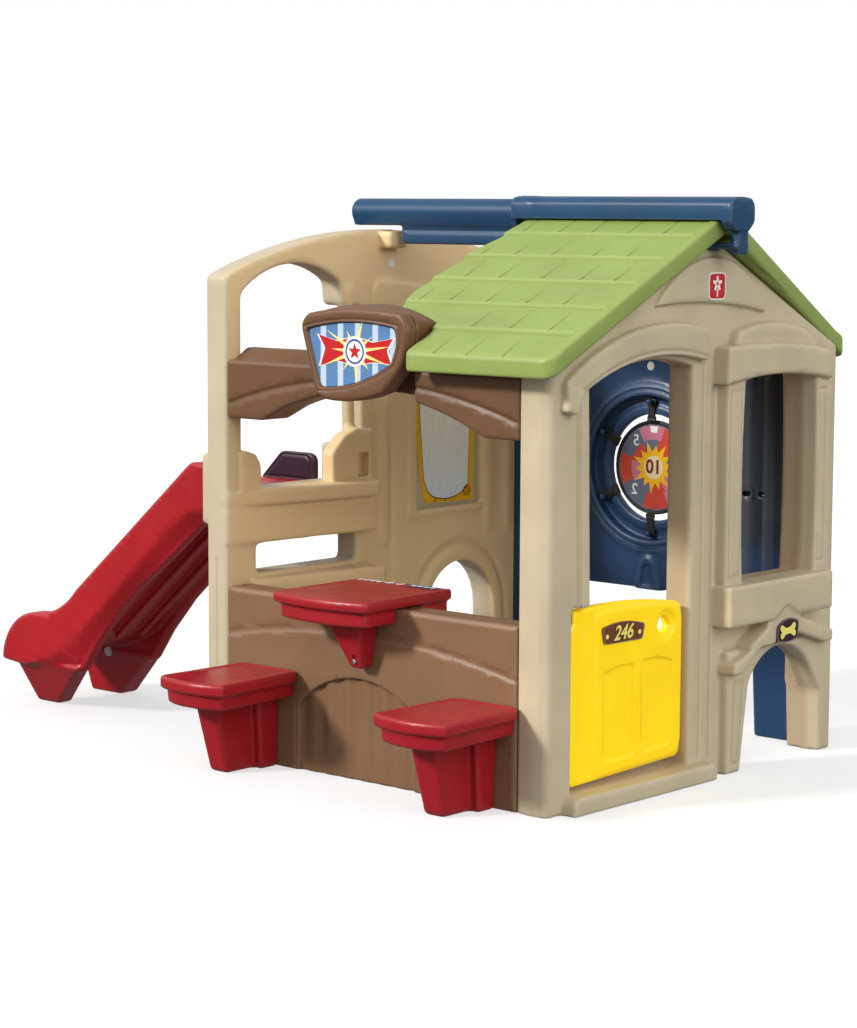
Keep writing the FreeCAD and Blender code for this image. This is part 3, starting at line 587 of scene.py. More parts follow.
def door_wall():
    """Gable end: doorway, window, pet door and their trims."""
    clay = Clay((-WALL, 0, 0), (63, 1215, 1374), 3)
    pet = [(751, 0), (785, 227), (940, 308, "via"), (1070, 224), (1104, 166), (1114, 0)]
    outline = [(0, 0), *pet, (1215, 0), (1215, 1074), (620, 1374), (0, 1074)]
    doorway = [(88, 45), (557, 45), (557, 1050), (342, 1070, "via"), (140, 1010), (152, 493), (88, 493)]
    window = [(737, 490), (1060, 490), (1067, 739, "via"), (1060, 1006), (898, 1022, "via"), (739, 1006),
              (730, 739, "via")]
    clay.slab("x", [outline, doorway, window], -80, 0, edge=12)
    for left, right in ((0, 88), (1145, 1215)):
        clay.slab("x", rect(left, 0, right, 1074), -WALL, -6, edge=12, join=4, soft=4)
    clay.slab("x", [(52, 0), (632, 0), (632, 30), (620, 45), (64, 45), (52, 30)], -WALL, 42, edge=8, join=6)
    # arch over the doorway, with its boss at the left and a step along the lower edge
    arch = [(36, 968), (70, 958), (98, 1008), (332, 1078, "via"), (592, 1062), (602, 1143),
            (330, 1154, "via"), (30, 1036)]
    clay.slab("x", arch, -20, 24, edge=9, join=6, soft=12)
    clay.slab("x", [(30, 966), (68, 956), (94, 1002), (98, 1014), (40, 1030)], -20, 27, edge=8, join=4,
              soft=10)
    clay.line("x", [(94, 1014), (332, 1090, "via"), (590, 1074)], 24, 8, 3.5)
    # jamb strips and grooves beside the doorway
    clay.slab("x", [(116, 493), (146, 493), (134, 1032), (104, 1016)], -10, 6, edge=5, join=4)
    clay.line("x", [(108, 500), (98, 960)], 0, 8, 4)
    clay.line("x", [(602, 50), (602, 1052)], 0, 8, 4.5)
    clay.line("x", [(646, 50), (646, 1000)], 0, 7, 3)
    # gable panel
    gable = [(386, 1202), (620, 1206, "via"), (856, 1176), (770, 1276, "via"), (650, 1318),
             (500, 1290, "via")]
    clay.slab("x", gable, -10, 12, edge=8, join=5, soft=10)
    # window surround, hood, cap and sill box
    clay.slab("x", [rect(660, 440, 1138, 1030), window], -30, 35, edge=10, join=7)
    for strip in (rect(674, 512, 722, 985), rect(1072, 520, 1102, 972)):
        clay.line("x", strip, 35, 6, 3, closed=True)
    cap = [(690, 1060), (1058, 1060), (1048, 1106), (1012, 1128), (849, 1152, "via"), (706, 1131)]
    clay.slab("x", cap, -20, 34, edge=14, join=7, soft=22)
    hood = [(636, 1000), (880, 1019, "via"), (1114, 996), (1101, 1074), (880, 1098, "via"), (642, 1096)]
    clay.slab("x", hood, -20, 52, edge=11, join=6, soft=10)
    box = [(650, 492), (650, 386), (850, 386), (903, 420), (960, 390), (1116, 390), (1116, 492)]
    clay.slab("x", box, -20, 62, edge=11, join=6, soft=9)
    clay.line("x", [(658, 482), (1108, 482)], 62, 7, 2)
    # pilasters and stepped roof round the pet door
    clay.slab("x", [*pet, (1168, 0), (1168, 320), (690, 320), (690, 0)], -40, 28, edge=13, join=8, soft=8)
    clay.line("x", [(710, 28), (738, 28), (756, 236), (718, 236)], 28, 6, 2.5, closed=True)
    roof = [(680, 262), (713, 262), (797, 322), (853, 322), (903, 345), (969, 341), (1095, 300), (1128, 300),
            (1130, 332), (1046, 352), (1046, 361), (975, 382), (975, 392), (903, 424), (828, 384), (828, 370),
            (755, 330), (755, 318), (680, 290)]
    clay.slab("x", roof, -20, 56, edge=8, join=5, soft=8)
    # square rebate behind the pet door
    clay.slab("x", rect(772, -20, 1102, 320), -WALL - 20, -38, edge=6, join=5, cut=True, soft=10)
    # rounded outer corners, ribs on the inner face
    clay.slab("z", [(2, -2), (2, 24), (-7, 7, "via"), (-24, -2)], -5, 1090, edge=0, join=6, cut=True, soft=0)
    clay.slab("z", [(60, 1219), (60, 1188), (2, 1190), (-7, 1208, "via"), (-24, 1219)], -5, 1084, edge=0,
              join=8, cut=True, soft=0)
    clay.block((-110, 603, 1337), (30, 661, 1400), edge=1, cut=True)
    for low, high in ((180, 500), (620, 740)):
        clay.line("x", rect(low, 1090, high, 1180), -80, 9, 4, closed=True)
    cast(clay, "door_wall", SAND)


def slide_wall():
    """Tower end with the slide exit, climbing steps, mirror recess and crawl arch."""
    front, back = -1083, -1161
    clay = Clay((back - 23, 0, 0), (-1000, 1215, 1377), 3.4)
    outline = [(0, 0), (775, 0), (775, 284), (922, 432, "via"), (1070, 284), (1070, 0), (1215, 0),
               (1215, 1262), (607.5, 1376, "via"), (0, 1262)]
    gap = [(58, 700), (515, 700), (515, 1170), (436, 1172), (430, 1236), (270, 1288, "via"), (58, 1212)]
    clay.slab("x", [outline, gap, rect(112, 476, 494, 554)], back, front, edge=12, soft=18)
    arch = [(775, 30), (775, 284), (922, 432, "via"), (1070, 284), (1070, 30)]
    rim = [(735, 30), (735, 284), (922, 472, "via"), (1110, 284), (1110, 30)]
    clay.slab("x", rim, front - 20, front + 14, edge=12, join=14, soft=0)
    clay.slab("x", [(1075, -20), (1070, 284), (922, 432, "via"), (775, 284), (770, -20)], back - 30,
              front + 40, edge=0, join=8, cut=True, soft=0)
    clay.line("x", arch, front + 14, 9, 2, join=6)
    # soft shapes moulded into the inner face
    clay.slab("x", [(640, 500), (640, 760), (560, 900), (560, 1240), (1090, 1180), (1170, 900), (1170, 80),
                    (1140, 80), (1130, 300), (922, 500, "via"), (714, 300), (700, 80), (640, 80)],
              front - 12, front + 6, edge=6, join=14, soft=40)
    for y in (600, 1040, 1130):
        clay.rod((front + 2, y, 520), (front + 2, y, 1180 if y > 700 else 900), 14, join=18,
                 stretch=(1.4, 1, 1))
    # platform and steps of the climbing side; they grow deeper away from the corner
    for bottom, top, start, near, far, depth in ((655, 700, 2, 505, 2, 82), (556, 656, 2, 530, 2, 46),
                                                 (20, 462, 86, 538, 16, 76)):
        step = [(front - 30, start), (front + far, start), (front + depth, 492), (front + depth, near),
                (front - 30, near)]
        clay.slab("z", step, bottom, top, edge=11, join=10, soft=12)
    clay.line("z", [(front + 4, 24), (front + 66, 480), (front + 8, 480)], 700, 8, 2.5)
    # mirror recess with a raised soft surround
    clay.slab("x", [rect(697, 570, 1014, 992), rect(738, 598, 1000, 970)], front - 20, front + 11, edge=7,
              join=7, soft=14)
    clay.slab("x", rect(734, 590, 1012, 974), front - 20, front + 30, edge=6, join=9, cut=True, soft=14)
    # shoulders beside the exit, with a pocket, and the grab bar
    near = [(40, 690), (120, 690), (116, 766), (99, 792), (64, 803), (40, 803)]
    clay.slab("x", near, front - 20, front + 12, edge=7, join=7, soft=8)
    far = [(362, 690), (524, 690), (524, 836), (457, 842), (408, 824), (362, 780)]
    clay.slab("x", far, front - 8, front + 38, edge=9, join=8, soft=10)
    clay.slab("x", rect(464, 706, 506, 772), front + 8, front + 60, edge=6, join=3, cut=True, soft=6)
    clay.rod((front - 8, 470, 830), (front - 14, 462, 1214), 17, join=14)
    clay.block((front - 30, 580, 1325), (front + 45, 655, 1372), edge=12, join=10)
    # bolting flanges of the slide, on the outer face
    for low, high in ((2, 56), (454, 510)):
        clay.block((back - 22, low, 608), (back + 10, high, 795), edge=12, join=9)
    for low, high in ((720, 1120), (40, 70)):
        clay.line("x", [(low, 560), (low, 1180)], back, 10, 4)
    clay.line("x", rect(560, 560, 1160, 1150), back, 10, 4.5, closed=True)
    clay.line("x", rect(70, 60, 690, 430), back, 10, 4.5, closed=True)
    # post lines towards the counter side
    clay.line("y", [(front - 39, 60), (front - 39, 520)], 0, 8, 2.0)
    cast(clay, "slide_wall", SAND_PAINTED_INDOOR_LIGHT)


def low_wall():
    """Counter wall with its stepped bands, arched recess and rippled panel."""
    clay = Clay((LEFT, -1, 0), (RIGHT, 86, 453), 3)
    clay.slab("y", rect(LEFT, 0, RIGHT, 452), 4, 85, edge=10)
    band = [(LEFT, 0), (LEFT, 326), (-640, 374, "via"), (RIGHT, 315), (RIGHT, 0)]
    clay.slab("y", band, 0, 40, edge=6, join=2, soft=4)
    band = [(LEFT, 336), (-640, 384, "via"), (RIGHT, 325), (RIGHT, 452), (LEFT, 452)]
    clay.slab("y", band, 1.5, 40, edge=8, join=1, soft=4)
    recess = [(-826, -30), (-430, -30), (-430, 196), (-628, 262, "via"), (-826, 172)]

    def ripple(u, v):
        return 3.6 * np.cos(FULL * (u + 628) / 62) * np.clip((v + 60) / 200, 0.3, 1)

    clay.slab("y", recess, -20, 12, edge=4, join=5, cut=True, soft=14, lift=ripple)
    clay.line("y", [(-832, 0), (-832, 172)], 0, 8, 3)
    clay.line("y", [(-424, 0), (-424, 196)], 0, 8, 3)
    clay.line("z", [(LEFT, 42), (RIGHT, 42)], 452, 9, 3)
    clay.line("y", rect(-1040, 60, -150, 400), 85, 10, 4, closed=True)
    cast(clay, "low_wall", BROWN)


def arch_beam():
    """Arched beam with two bands, and a seat for the sign."""
    clay = Clay((LEFT, -1, 892), (RIGHT, 101, 1077), 3)
    outline = [(LEFT, 893), (-955, 893), (-880, 930), (-582, 982, "via"), (-284, 924), (-210, 893),
               (RIGHT, 893), (RIGHT, 1045), (LEFT, 1045)]
    clay.slab("y", outline, 0, 100, edge=9, soft=10)
    clay.slab("x", [(4, 1030), (100, 1030), (100, 1074), (70, 1074)], LEFT, RIGHT, edge=8, join=6, soft=8)
    clay.line("y", [(LEFT, 930), (-582, 1012, "via"), (RIGHT, 934)], 0, 12, 4, join=4)
    clay.block((-756, -10, 965), (-430, 79, 1100), edge=2, cut=True)
    cast(clay, "arch_beam", BROWN_PAINTED_SHADE)


def back_wall():
    """Blue wall with the crawl opening and the ringed dish of the toss target."""
    inner, outer = 1160, 1215
    clay = Clay((LEFT, 1146, 0), (RIGHT, outer + 1, 1071), 3.2)
    outline = [(LEFT, 0), (-946, 0), (-930, 310), (-880, 372), (-284, 372), (-234, 310), (-218, 0),
               (RIGHT, 0), (RIGHT, 1070), (LEFT, 1070)]
    clay.slab("y", outline, inner, outer, edge=12, soft=10)
    # a ringed dish round the hole, which is thinner towards the outside
    clay.slab("y", [ring(*TARGET, 232)], 1148, inner + 20, edge=9, join=22, soft=0)
    clay.slab("y", [ring(*TARGET, 204)], 1120, inner + 16, edge=8, join=6, cut=True, soft=0)
    clay.slab("y", [ring(*TARGET, 176)], 1170, outer - 10, edge=8, join=8, soft=0)
    clay.slab("y", [ring(*TARGET, 150)], 1120, outer + 60, edge=0, join=8, cut=True, soft=0)
    clay.slab("y", [ring(*TARGET, 172)], 1197, outer + 60, edge=4, join=6, cut=True, soft=0)
    clay.line("y", ring(*TARGET, 222), 1148.5, 9, 3.5, closed=True)
    knob = [(-626, 372), (-538, 372), (-552, 440), (-582, 466, "via"), (-612, 440)]
    clay.slab("y", knob, 1149, inner + 20, edge=9, join=16, soft=10)
    dimple = [(-604, 380), (-560, 380), (-566, 428), (-582, 444, "via"), (-598, 428)]
    clay.slab("y", dimple, 1130, 1156, edge=5, join=6, cut=True, soft=8)
    # broad soft shapes and small pockets of the inner face
    for x in (-980, -900, -250, -180):
        clay.rod((x, inner, 430), (x, inner, 980), 13, join=20, stretch=(1, 1.5, 1))
    for x in (-262, -214):
        clay.block((x, 1150, 660), (x + 26, inner + 12, 674), edge=4, join=2, cut=True)
    clay.line("y", rect(-1050, 420, -840, 1030), inner, 10, 4, closed=True)
    clay.line("y", rect(-330, 420, -130, 1030), inner, 10, 4, closed=True)
    clay.line("y", ring(*TARGET, 250), outer, 12, 5, closed=True)
    for low, high in ((-1050, -860), (-305, -130)):
        clay.line("y", rect(low, 60, high, 1030), outer, 10, 4.5, closed=True)
    cast(clay, "back_wall", NAVY)


# ---------------------------------------------------------------- roof

RIDGE_Y, RIDGE_Z, THICK, ROWS = 620, 1432, 49, 6


def roof(name, outline, pitch, way, rake, lean, eave, seams):
    """A roof half of stepped shingle rows, made flat: X, distance down the slope, upright height off its top.

    Its rims stay upright when it is leaned. A smooth border runs along its eave and its rake, which moves
    out by lean for each millimetre down the slope.
    """
    run = math.hypot(1, pitch)
    flat = [((p[0], abs(p[1] - RIDGE_Y) * run) + tuple(p[2:])) for p in outline]
    length = abs(eave - RIDGE_Y) * run
    row, border, thick = length / ROWS, 28, THICK * run
    clay = Clay((-626, 0, -thick), (65, length, 0), 2.8)

    def courses(u, v):
        share = (v / row) % 1
        rim = np.maximum(u - rake - lean * v, v - length) + border
        return np.where(rim > 0, -3.0, -7.5 + 7.0 * share ** 1.5)

    clay.slab("z", flat, -thick, 0, edge=10, soft=16, lift=courses)
    for index, places in enumerate(seams):
        top, bottom = index * row + 10, (index + 1) * row - 6
        for u in places:
            clay.line("z", [(u, top), (u + 5, bottom)], -4.6 + 0.4 * (index % 2), 7, 3.6, join=2)
    clay.line("z", [(-400, length - border - 2), (rake - border - 16, length - border - 2)], -2.0, 5, 2,
              join=2)
    clay.line("z", [(-560, 90), (rake - 40, 90), (rake - 40, length - 60), (-560, length - 60)], -thick,
              12, 5, closed=True)
    fall = pitch / run
    place = Matrix(((1, 0, 0, 0), (0, way / run, 0, RIDGE_Y), (0, -fall, 1, RIDGE_Z), (0, 0, 0, 1)))
    cast(clay, name, GREEN, place=place)


def roofs():
    front = [(52, 622), (-560, 622)]
    for x, y in ((-575, 500), (-600, 420), (-612, 330), (-625, 215), (-600, 120)):
        front += [(x, y + 12), (x, y)]
    front += [(-560, 78), (-424, 78), (-408, 20), (-405, -66), (12, -66), (44, -54, "via"), (52, -21)]
    seams = [(-520, -400, -295, -180, -70), (-560, -450, -330, -200, -95), (-520, -405, -270, -150, -45),
             (-570, -470, -350, -225, -110), (-540, -300, -180, -60), (-318, -215, -105)]
    roof("roof_front", front, 0.487, -1, 52, 0, -66, seams)
    back = [(64, 618), (-24, 1242), (-34, 1280, "via"), (-62, 1292), (-560, 1292)]
    for x, y in ((-600, 1120), (-625, 1020), (-612, 910), (-600, 820), (-575, 740)):
        back += [(x, y + 12), (x, y)]
    back += [(-560, 618)]
    seams = [(-500, -380, -250, -130), (-550, -430, -320, -200, -80), (-510, -390, -280, -160),
             (-570, -450, -340, -210, -90), (-520, -410, -290, -170), (-470, -350, -240, -120)]
    roof("roof_back", back, 0.505, 1, 64, -0.126, 1292, seams)


def ridge_beams():
    """Two blue beams that meet in a collar: a squarer one over the roof and a round one over the tower."""
    clay = Clay((-605, 566, 1336), (98, 674, 1470), 2.8)
    crown = [(568, 1408), (617, 1432), (623, 1432), (672, 1407), (672, 1450), (660, 1464), (620, 1468, "via"),
             (580, 1464), (568, 1450)]
    clay.slab("x", crown, -604, 97, edge=6, soft=6)
    clay.slab("x", grow(crown, 1.02), -604, -540, edge=6, join=4, soft=8)
    clay.slab("x", [(590, 1384), (650, 1384), (672, 1404), (672, 1446), (568, 1446), (568, 1404)], 65, 98,
              edge=7, join=3, soft=8)
    clay.slab("x", rect(610, 1326, 654, 1400), 65, 92, edge=8, join=6, soft=8)
    clay.slab("x", rect(605, 1338, 659, 1354), 1, 90, edge=6, join=3, soft=6)
    cast(clay, "ridge_beam_front", BLUE)
    clay = Clay((-1192, 582, 1336), (-603, 658, 1462), 2.6)
    clay.slab("x", [ring(620, 1425, 36)], -1192, -604.5, edge=10, soft=0)
    clay.slab("x", rect(592, 1388, 648, 1416), -1188, -604.5, edge=7, join=5, soft=6)
    clay.slab("x", rect(598, 1338, 642, 1412), -1016, -604.5, edge=8, join=6, soft=10)
    for y in (598, 642):
        clay.line("y", [(-1000, 1376), (-620, 1376)], y, 9, 3)
    cast(clay, "ridge_beam_rear", BLUE)


# ---------------------------------------------------------------- counter side


def sign():
    """Shield-shaped box with a fat rolled rim, an inner bead and a sunk face."""
    rim = [(-773, 1150), (-750, 1176), (-595, 1193, "via"), (-432, 1184), (-408, 1150), (-428, 1056),
           (-490, 989), (-594, 964, "via"), (-690, 964), (-722, 978)]
    rear = [(-757, 1166), (-587, 1200, "via"), (-424, 1162), (-434, 1054), (-577, 978, "via"), (-718, 980)]
    face = [(-748, 1136), (-581, 1157, "via"), (-457, 1146), (-452, 1108), (-470, 1060), (-581, 1011, "via"),
            (-704, 995)]
    clay = Clay((-774, -49, 960), (-407, 79, 1208), 2.2)
    clay.slab("y", rear, -30, 78, edge=12, soft=18)
    clay.slab("y", rim, -48, 4, edge=11, join=6, soft=22)
    clay.slab("y", grow(face, 1.03), -70, -41, edge=4, join=4, cut=True, soft=14)
    clay.slab("y", face, -60, -36, edge=2, join=2, cut=True, soft=12)
    clay.line("y", grow(face, 1.11), -48, 6, 2.4, closed=True, join=2)
    clay.line("y", grow(rim, 0.99), -12, 8, 3, closed=True, join=2)
    clay.block((-780, -0.4, 900), (-400, 90, 1046.5), edge=0, cut=True)
    clay.slab("x", [(-0.4, 1046), (90, 1046), (90, 1079)], -780, -400, edge=0, cut=True, soft=0)
    cast(clay, "sign_housing", BROWN_PAINTED_SHADE)


def bowed(x, half, out, inward, narrow, inset):
    left, right, front = x - half + inset, x + half - inset, -out + 27 + inset
    return [(left, front), (x, -out + inset, "via"), (right, front), (right - narrow, inward),
            (left + narrow, inward)]


def stool(name, x):
    """Red stool: bowed lip over an inset skirt, on a slim tapered pedestal."""
    clay = Clay((x - 116, -313, 0), (x + 116, 0, 261), 2.4)
    leg = x - 35
    clay.block((leg - 33, -158, 0), (leg + 33, -0.6, 205), edge=13, top=(leg - 42, -210, leg + 42, -0.6))
    clay.block((leg + 20, -60, 0), (leg + 58, -0.6, 200), edge=10, join=8,
               top=(leg + 20, -80, leg + 66, -0.6))
    clay.slab("z", bowed(x, 115, 312, -0.6, 12, 15), 190, 235, edge=8, join=7, soft=24, draft=-0.1)
    clay.slab("z", bowed(x, 115, 312, -0.6, 12, 0), 227, 260, edge=9, join=3, soft=26)
    clay.slab("z", bowed(x, 115, 312, -22, 12, 17), 257.4, 275, edge=1.5, join=7, cut=True, soft=22)
    cast(clay, name, CRIMSON)


def table():
    """Snack table over the low wall, on a wedge bracket."""
    x = -629
    clay = Clay((x - 164, -157, 296), (x + 164, 207, 485), 2.6)
    clay.block((-606, -40, 298), (-566, -0.6, 440), edge=9, top=(-667, -80, -539, -0.6))
    clay.line("y", [(-586, 306), (-586, 326)], -46, 14, 6, join=2)
    skirt = [(x - 148, -0.6), (x - 148, -114), (x, -141, "via"), (x + 148, -114), (x + 148, -0.6)]
    clay.slab("z", skirt, 418, 462, edge=7, join=5, soft=18)
    clay.slab("z", rect(x - 148, 85.6, x + 148, 191), 418, 462, edge=8, join=5, soft=14)
    clay.slab("z", bowed(x, 163, 156, 206, 8, 10), 453, 470, edge=4, join=3, soft=24)
    clay.slab("z", bowed(x, 163, 156, 206, 8, 0), 456, 484, edge=9, join=2, soft=26)
    clay.slab("z", bowed(x, 163, 156, 206, 8, 17), 483, 500, edge=0.5, join=5, cut=True, soft=20)
    cast(clay, "table", CRIMSON)


# ---------------------------------------------------------------- moving parts


def half_door():
    """Yellow half door with its hinge roll, raised field, two sunk panels and finger hole."""
    clay = Clay((-47, 90, 54), (-6, 546, 489), 1.9)
    leaf = [(108, 56), (520, 70), (537, 77, "via"), (544, 94), (544, 442), (537, 459, "via"), (520, 466),
            (320, 487, "via"), (108, 484)]
    finger = [470, 412]
    clay.slab("x", leaf, -45, -15, edge=9, soft=14)
    clay.rod((-30, 108, 72), (-30, 108, 436), 16, join=9)
    raised = [(190, 68), (516, 80), (537, 102), (537, 438), (516, 458), (340, 475, "via"), (190, 468)]
    clay.slab("x", raised, -30, -8, edge=7, join=9, soft=22)
    left = [(218, 102), (341, 102), (339, 330), (275, 331, "via"), (218, 318)]
    right = [(374, 104), (489, 109), (498, 320), (440, 334, "via"), (375, 334)]
    for panel in (left, right):
        clay.slab("x", panel, -13.5, 0, edge=4, join=4, cut=True, soft=12)
    clay.slab("x", [ring(*finger, 36, 40)], -15, 4, edge=8, join=8, cut=True, soft=0)
    clay.slab("x", [ring(*finger, 23, 40)], -60, 10, edge=0, join=7, cut=True, soft=0)
    clay.slab("x", rect(200, 120, 500, 420), -47, -42, edge=2, join=5, cut=True, soft=20)
    clay.rod((-30, 108, 40), (-30, 108, 96), 8.6, cut=True)
    clay.rod((-30, 108, 420), (-30, 108, 500), 8.6, cut=True)
    cast(clay, "half_door", YELLOW, body="door")


def target():
    """Disc with a raised black rim, six elastic straps and their pegs."""
    (x, z), y = TARGET, 1180
    clay = Clay((x - 134, y - 5, z - 134), (x + 134, y + 15, z + 134), 1.8)
    clay.slab("y", [ring(x, z, 132.6)], y, y + 14, edge=5, soft=0)
    clay.slab("y", [ring(x, z, 132.6), ring(x, z, 124)], y - 4, y + 8, edge=3, join=2, soft=0)
    cast(clay, "target_disc", BLACK, "target")
    for index in range(6):
        angle = math.radians(60 * index)
        clay = Clay((-19, -13, 126), (19, 3, 196), 1.3)
        clay.slab("y", [(-16, 129), (16, 129), (15, 142), (11, 152), (11, 166), (15, 174), (15, 194),
                        (-15, 194), (-15, 174), (-11, 166), (-11, 152), (-15, 142)], -11.6, -6.4, edge=2.2,
                  soft=6)
        clay.line("y", [(-13, 138), (13, 138)], -11.6, 3, 1.4, join=1)
        turn = Matrix.Translation((x, 1176, z)) @ Matrix.Rotation(angle, 4, "Y")
        strap = clay.mesh(f"target_strap_{index + 1}", BLACK, turn)
        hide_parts("target_straps")
        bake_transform(strap)
        clay = Clay((-11, -36, 175), (11, 2, 197), 1.3)
        clay.rod((0, -1, 186), (0, -20, 186), 6.4)
        clay.rod((0, -21.5, 186), (0, -22.5, 186), 8.6, join=3, stretch=(1, 1.15, 1))
        settle(clay.mesh(f"target_peg_{index + 1}", NAVY, turn), "target_pegs")


# ---------------------------------------------------------------- slide


def slide():
    """Slide: bed between two deep rails, ribs under it and two splayed feet."""
    top = -1161.5
    clay = Clay((-2099, 74, 0), (top, 477, 762), 3.3)
    crest = [(top, 760), (-1303, 758), (-1776, 364), (-1846, 308, "via"), (-1937, 282), (-2062, 228, "via"),
             (-2098, 133), (-2001, 124)]
    face = crest + [(-1880, 158), (-1781, 228), (-1681, 308), (-1557, 423), (-1402, 563), (-1309, 622),
                    (top, 648)]
    deep = crest + [(-1779, 124), (-1712, 218), (-1620, 319), (-1536, 393), (-1394, 500), (-1278, 594),
                    (top, 604)]
    clay.slab("y", face, 75, 108, edge=8, soft=16, into=deep)
    clay.slab("y", deep, 100, 137, edge=12, soft=16)
    clay.slab("y", deep, 370, 407, edge=12, soft=16)
    clay.slab("y", deep, 399, 432, edge=8, soft=16, into=face)
    bed = [(top, 696), (-1276, 690), (-1760, 270), (-1840, 218, "via"), (-1960, 196), (-2097, 176),
           (-2096, 136), (-1960, 160), (-1850, 180, "via"), (-1740, 236), (-1276, 636), (top, 640)]
    clay.slab("y", bed, 120, 387, edge=5, join=16, soft=14)
    for low, high in ((196, 214), (292, 310)):
        clay.slab("y", [(-1276, 640), (-1745, 238), (-1745, 208), (-1276, 606)], low, high, edge=6, join=8)
    # lowered head of the far rail
    clay.block((-1420, 360, 689), (-1150, 433.5, 780), edge=4, join=10, cut=True)
    # splayed feet
    clay.block((-2066, 182, 0), (-1974, 232, 140), edge=9, join=14, top=(-2056, 88, -1779, 139))
    clay.block((-2084, 404, 0), (-1956, 472, 140), edge=9, join=14, top=(-2092, 369, -1784, 420))
    clay.slab("y", [ring(-1969, 132, 16, 32)], 360, 384, edge=0, cut=True, soft=0)
    cast(clay, "slide", RED)
    clay = Clay((-1398, 430, 682), (-1183, 452, 766), 2)
    wing = [(-1183.5, 684), (-1183.5, 750), (-1200, 764), (-1314, 764), (-1396, 684)]
    clay.slab("y", wing, 432.6, 450.4, edge=6, soft=14)
    clay.line("y", grow(wing, 0.8), 432.6, 6, 2.4, closed=True)
    cast(clay, "hand_wing", PLUM)
    clay = Clay((-1985, 366, 116), (-1953, 390, 148), 1)
    clay.slab("y", [ring(-1969, 132, 15, 32)], 367.5, 389, edge=2, soft=0)
    plug = clay.mesh("slide_plug", WHITE)
    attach(plug, "house")


# ---------------------------------------------------------------- prints and small pieces


def filled(loops, height):
    """A flat sheet with the outlines' shape, as (points, faces), standing from 0 to height."""
    data = bpy.data.curves.new("sheet", "CURVE")
    data.dimensions, data.fill_mode, data.extrude = "2D", "BOTH", height / 2
    for loop in loops:
        line = data.splines.new("POLY")
        points = curve(loop)
        line.points.add(len(points) - 1)
        for point, (u, v) in zip(line.points, points):
            point.co = (u, v, 0, 1)
        line.use_cyclic_u = True
    return taken(data, height)


def digits(text, u, v, size, height, flip=1, lean=0.0, bold=0.012):
    """Numbers centred on (u, v); flip = -1 mirrors them."""
    data = bpy.data.curves.new("digits", "FONT")
    data.body, data.size, data.extrude, data.offset, data.shear = text, size, height / 2, size * bold, lean
    data.align_x, data.align_y = "CENTER", "CENTER"
    points, faces = taken(data, height)
    points[:, 0] = points[:, 0] * flip + u
    points[:, 1] += v
    return points, [face[::flip] for face in faces]


def taken(data, height):
    """Points and faces of a curve or text, lifted to stand on 0."""
    holder = bpy.data.objects.new("holder", data)
    mesh = bpy.data.meshes.new_from_object(holder)
    points = np.array([v.co for v in mesh.vertices]) + np.array((0, 0, height / 2))
    faces = [tuple(p.vertices) for p in mesh.polygons]
    bpy.data.objects.remove(holder)
    bpy.data.curves.remove(data)
    bpy.data.meshes.remove(mesh)
    return points, faces


def sheets(name, plane, depth, way, layers):
    """Printed sheets on each other, on the plane at depth, growing way (1 or -1) along its axis.

    A layer is (points and faces, material) as filled and digits give them.
    """
    axis = "xyz".index(plane)
    first, second = AXES[plane]
    mesh = bpy.data.meshes.new(name)
    points, faces, owners, kinds = [], [], [], []
    for (spots, patches), material in layers:
        if material not in kinds:
            kinds.append(material)
            mesh.materials.append(material)
        placed = np.zeros((len(spots), 3))
        placed[:, first], placed[:, second] = spots[:, 0], spots[:, 1]
        placed[:, axis] = depth + way * spots[:, 2]
        base = len(points)
        points += (placed / 1000 + np.array(HOUSE)).tolist()
        faces += [tuple(base + corner for corner in patch) for patch in patches]
        owners += [kinds.index(material)] * len(patches)
    mesh.from_pydata(points, [], faces)
    mesh.polygons.foreach_set("material_index", owners)
    mesh.update()
    if signed_volume(mesh) < 0:
        mesh.flip_normals()
    piece = bpy.data.objects.new(name, mesh)
    bpy.context.scene.collection.objects.link(piece)
    return piece


def sign_art():
    """A generic sports banner: striped sky, a red ribbon, pale rays and a round medal with a star."""
    face = [(-747, 1135), (-581, 1156, "via"), (-458, 1145), (-453, 1108), (-471, 1061), (-581, 1012, "via"),
            (-703, 996)]
    ribbon = [(-712, 1124), (-690, 1092), (-706, 1048), (-650, 1062), (-590, 1052), (-530, 1062),
              (-470, 1060), (-484, 1092), (-464, 1122), (-530, 1110), (-590, 1122), (-650, 1110)]
    rays = [(-590 + (p[0] + 590), 1086 + (p[1] - 1086) * 0.68)
            for p in star(-590, 1086, 26, 122, 11, turn=0.2, uneven=0.35)]
    layers = [
        (filled([soften(face, 16)], 4.0), INK_SKY),
        (filled([grow(ribbon, 1.06)], 4.3), INK_WHITE),
        (filled([ribbon], 4.6), INK_RED),
        (filled([rays], 4.9), INK_PALE),
        (filled([ring(-590, 1086, 38, 48)], 5.2), INK_WHITE),
        (filled([ring(-590, 1086, 31, 48), ring(-590, 1086, 26, 48)], 5.5), INK_BLUE),
        (filled([star(-590, 1086, 9, 22, 5, turn=math.pi / 2)], 5.5), INK_RED),
    ]
    settle(sheets("sign_panel_form", "y", -36, -1, layers), "sign_panel")


def sector(u, v, inner, outer, start, end):
    steps = 10
    angles = [start + (end - start) * i / steps for i in range(steps + 1)]
    return ([(u + outer * math.cos(a), v + outer * math.sin(a)) for a in angles]
            + [(u + inner * math.cos(a), v + inner * math.sin(a)) for a in reversed(angles)])


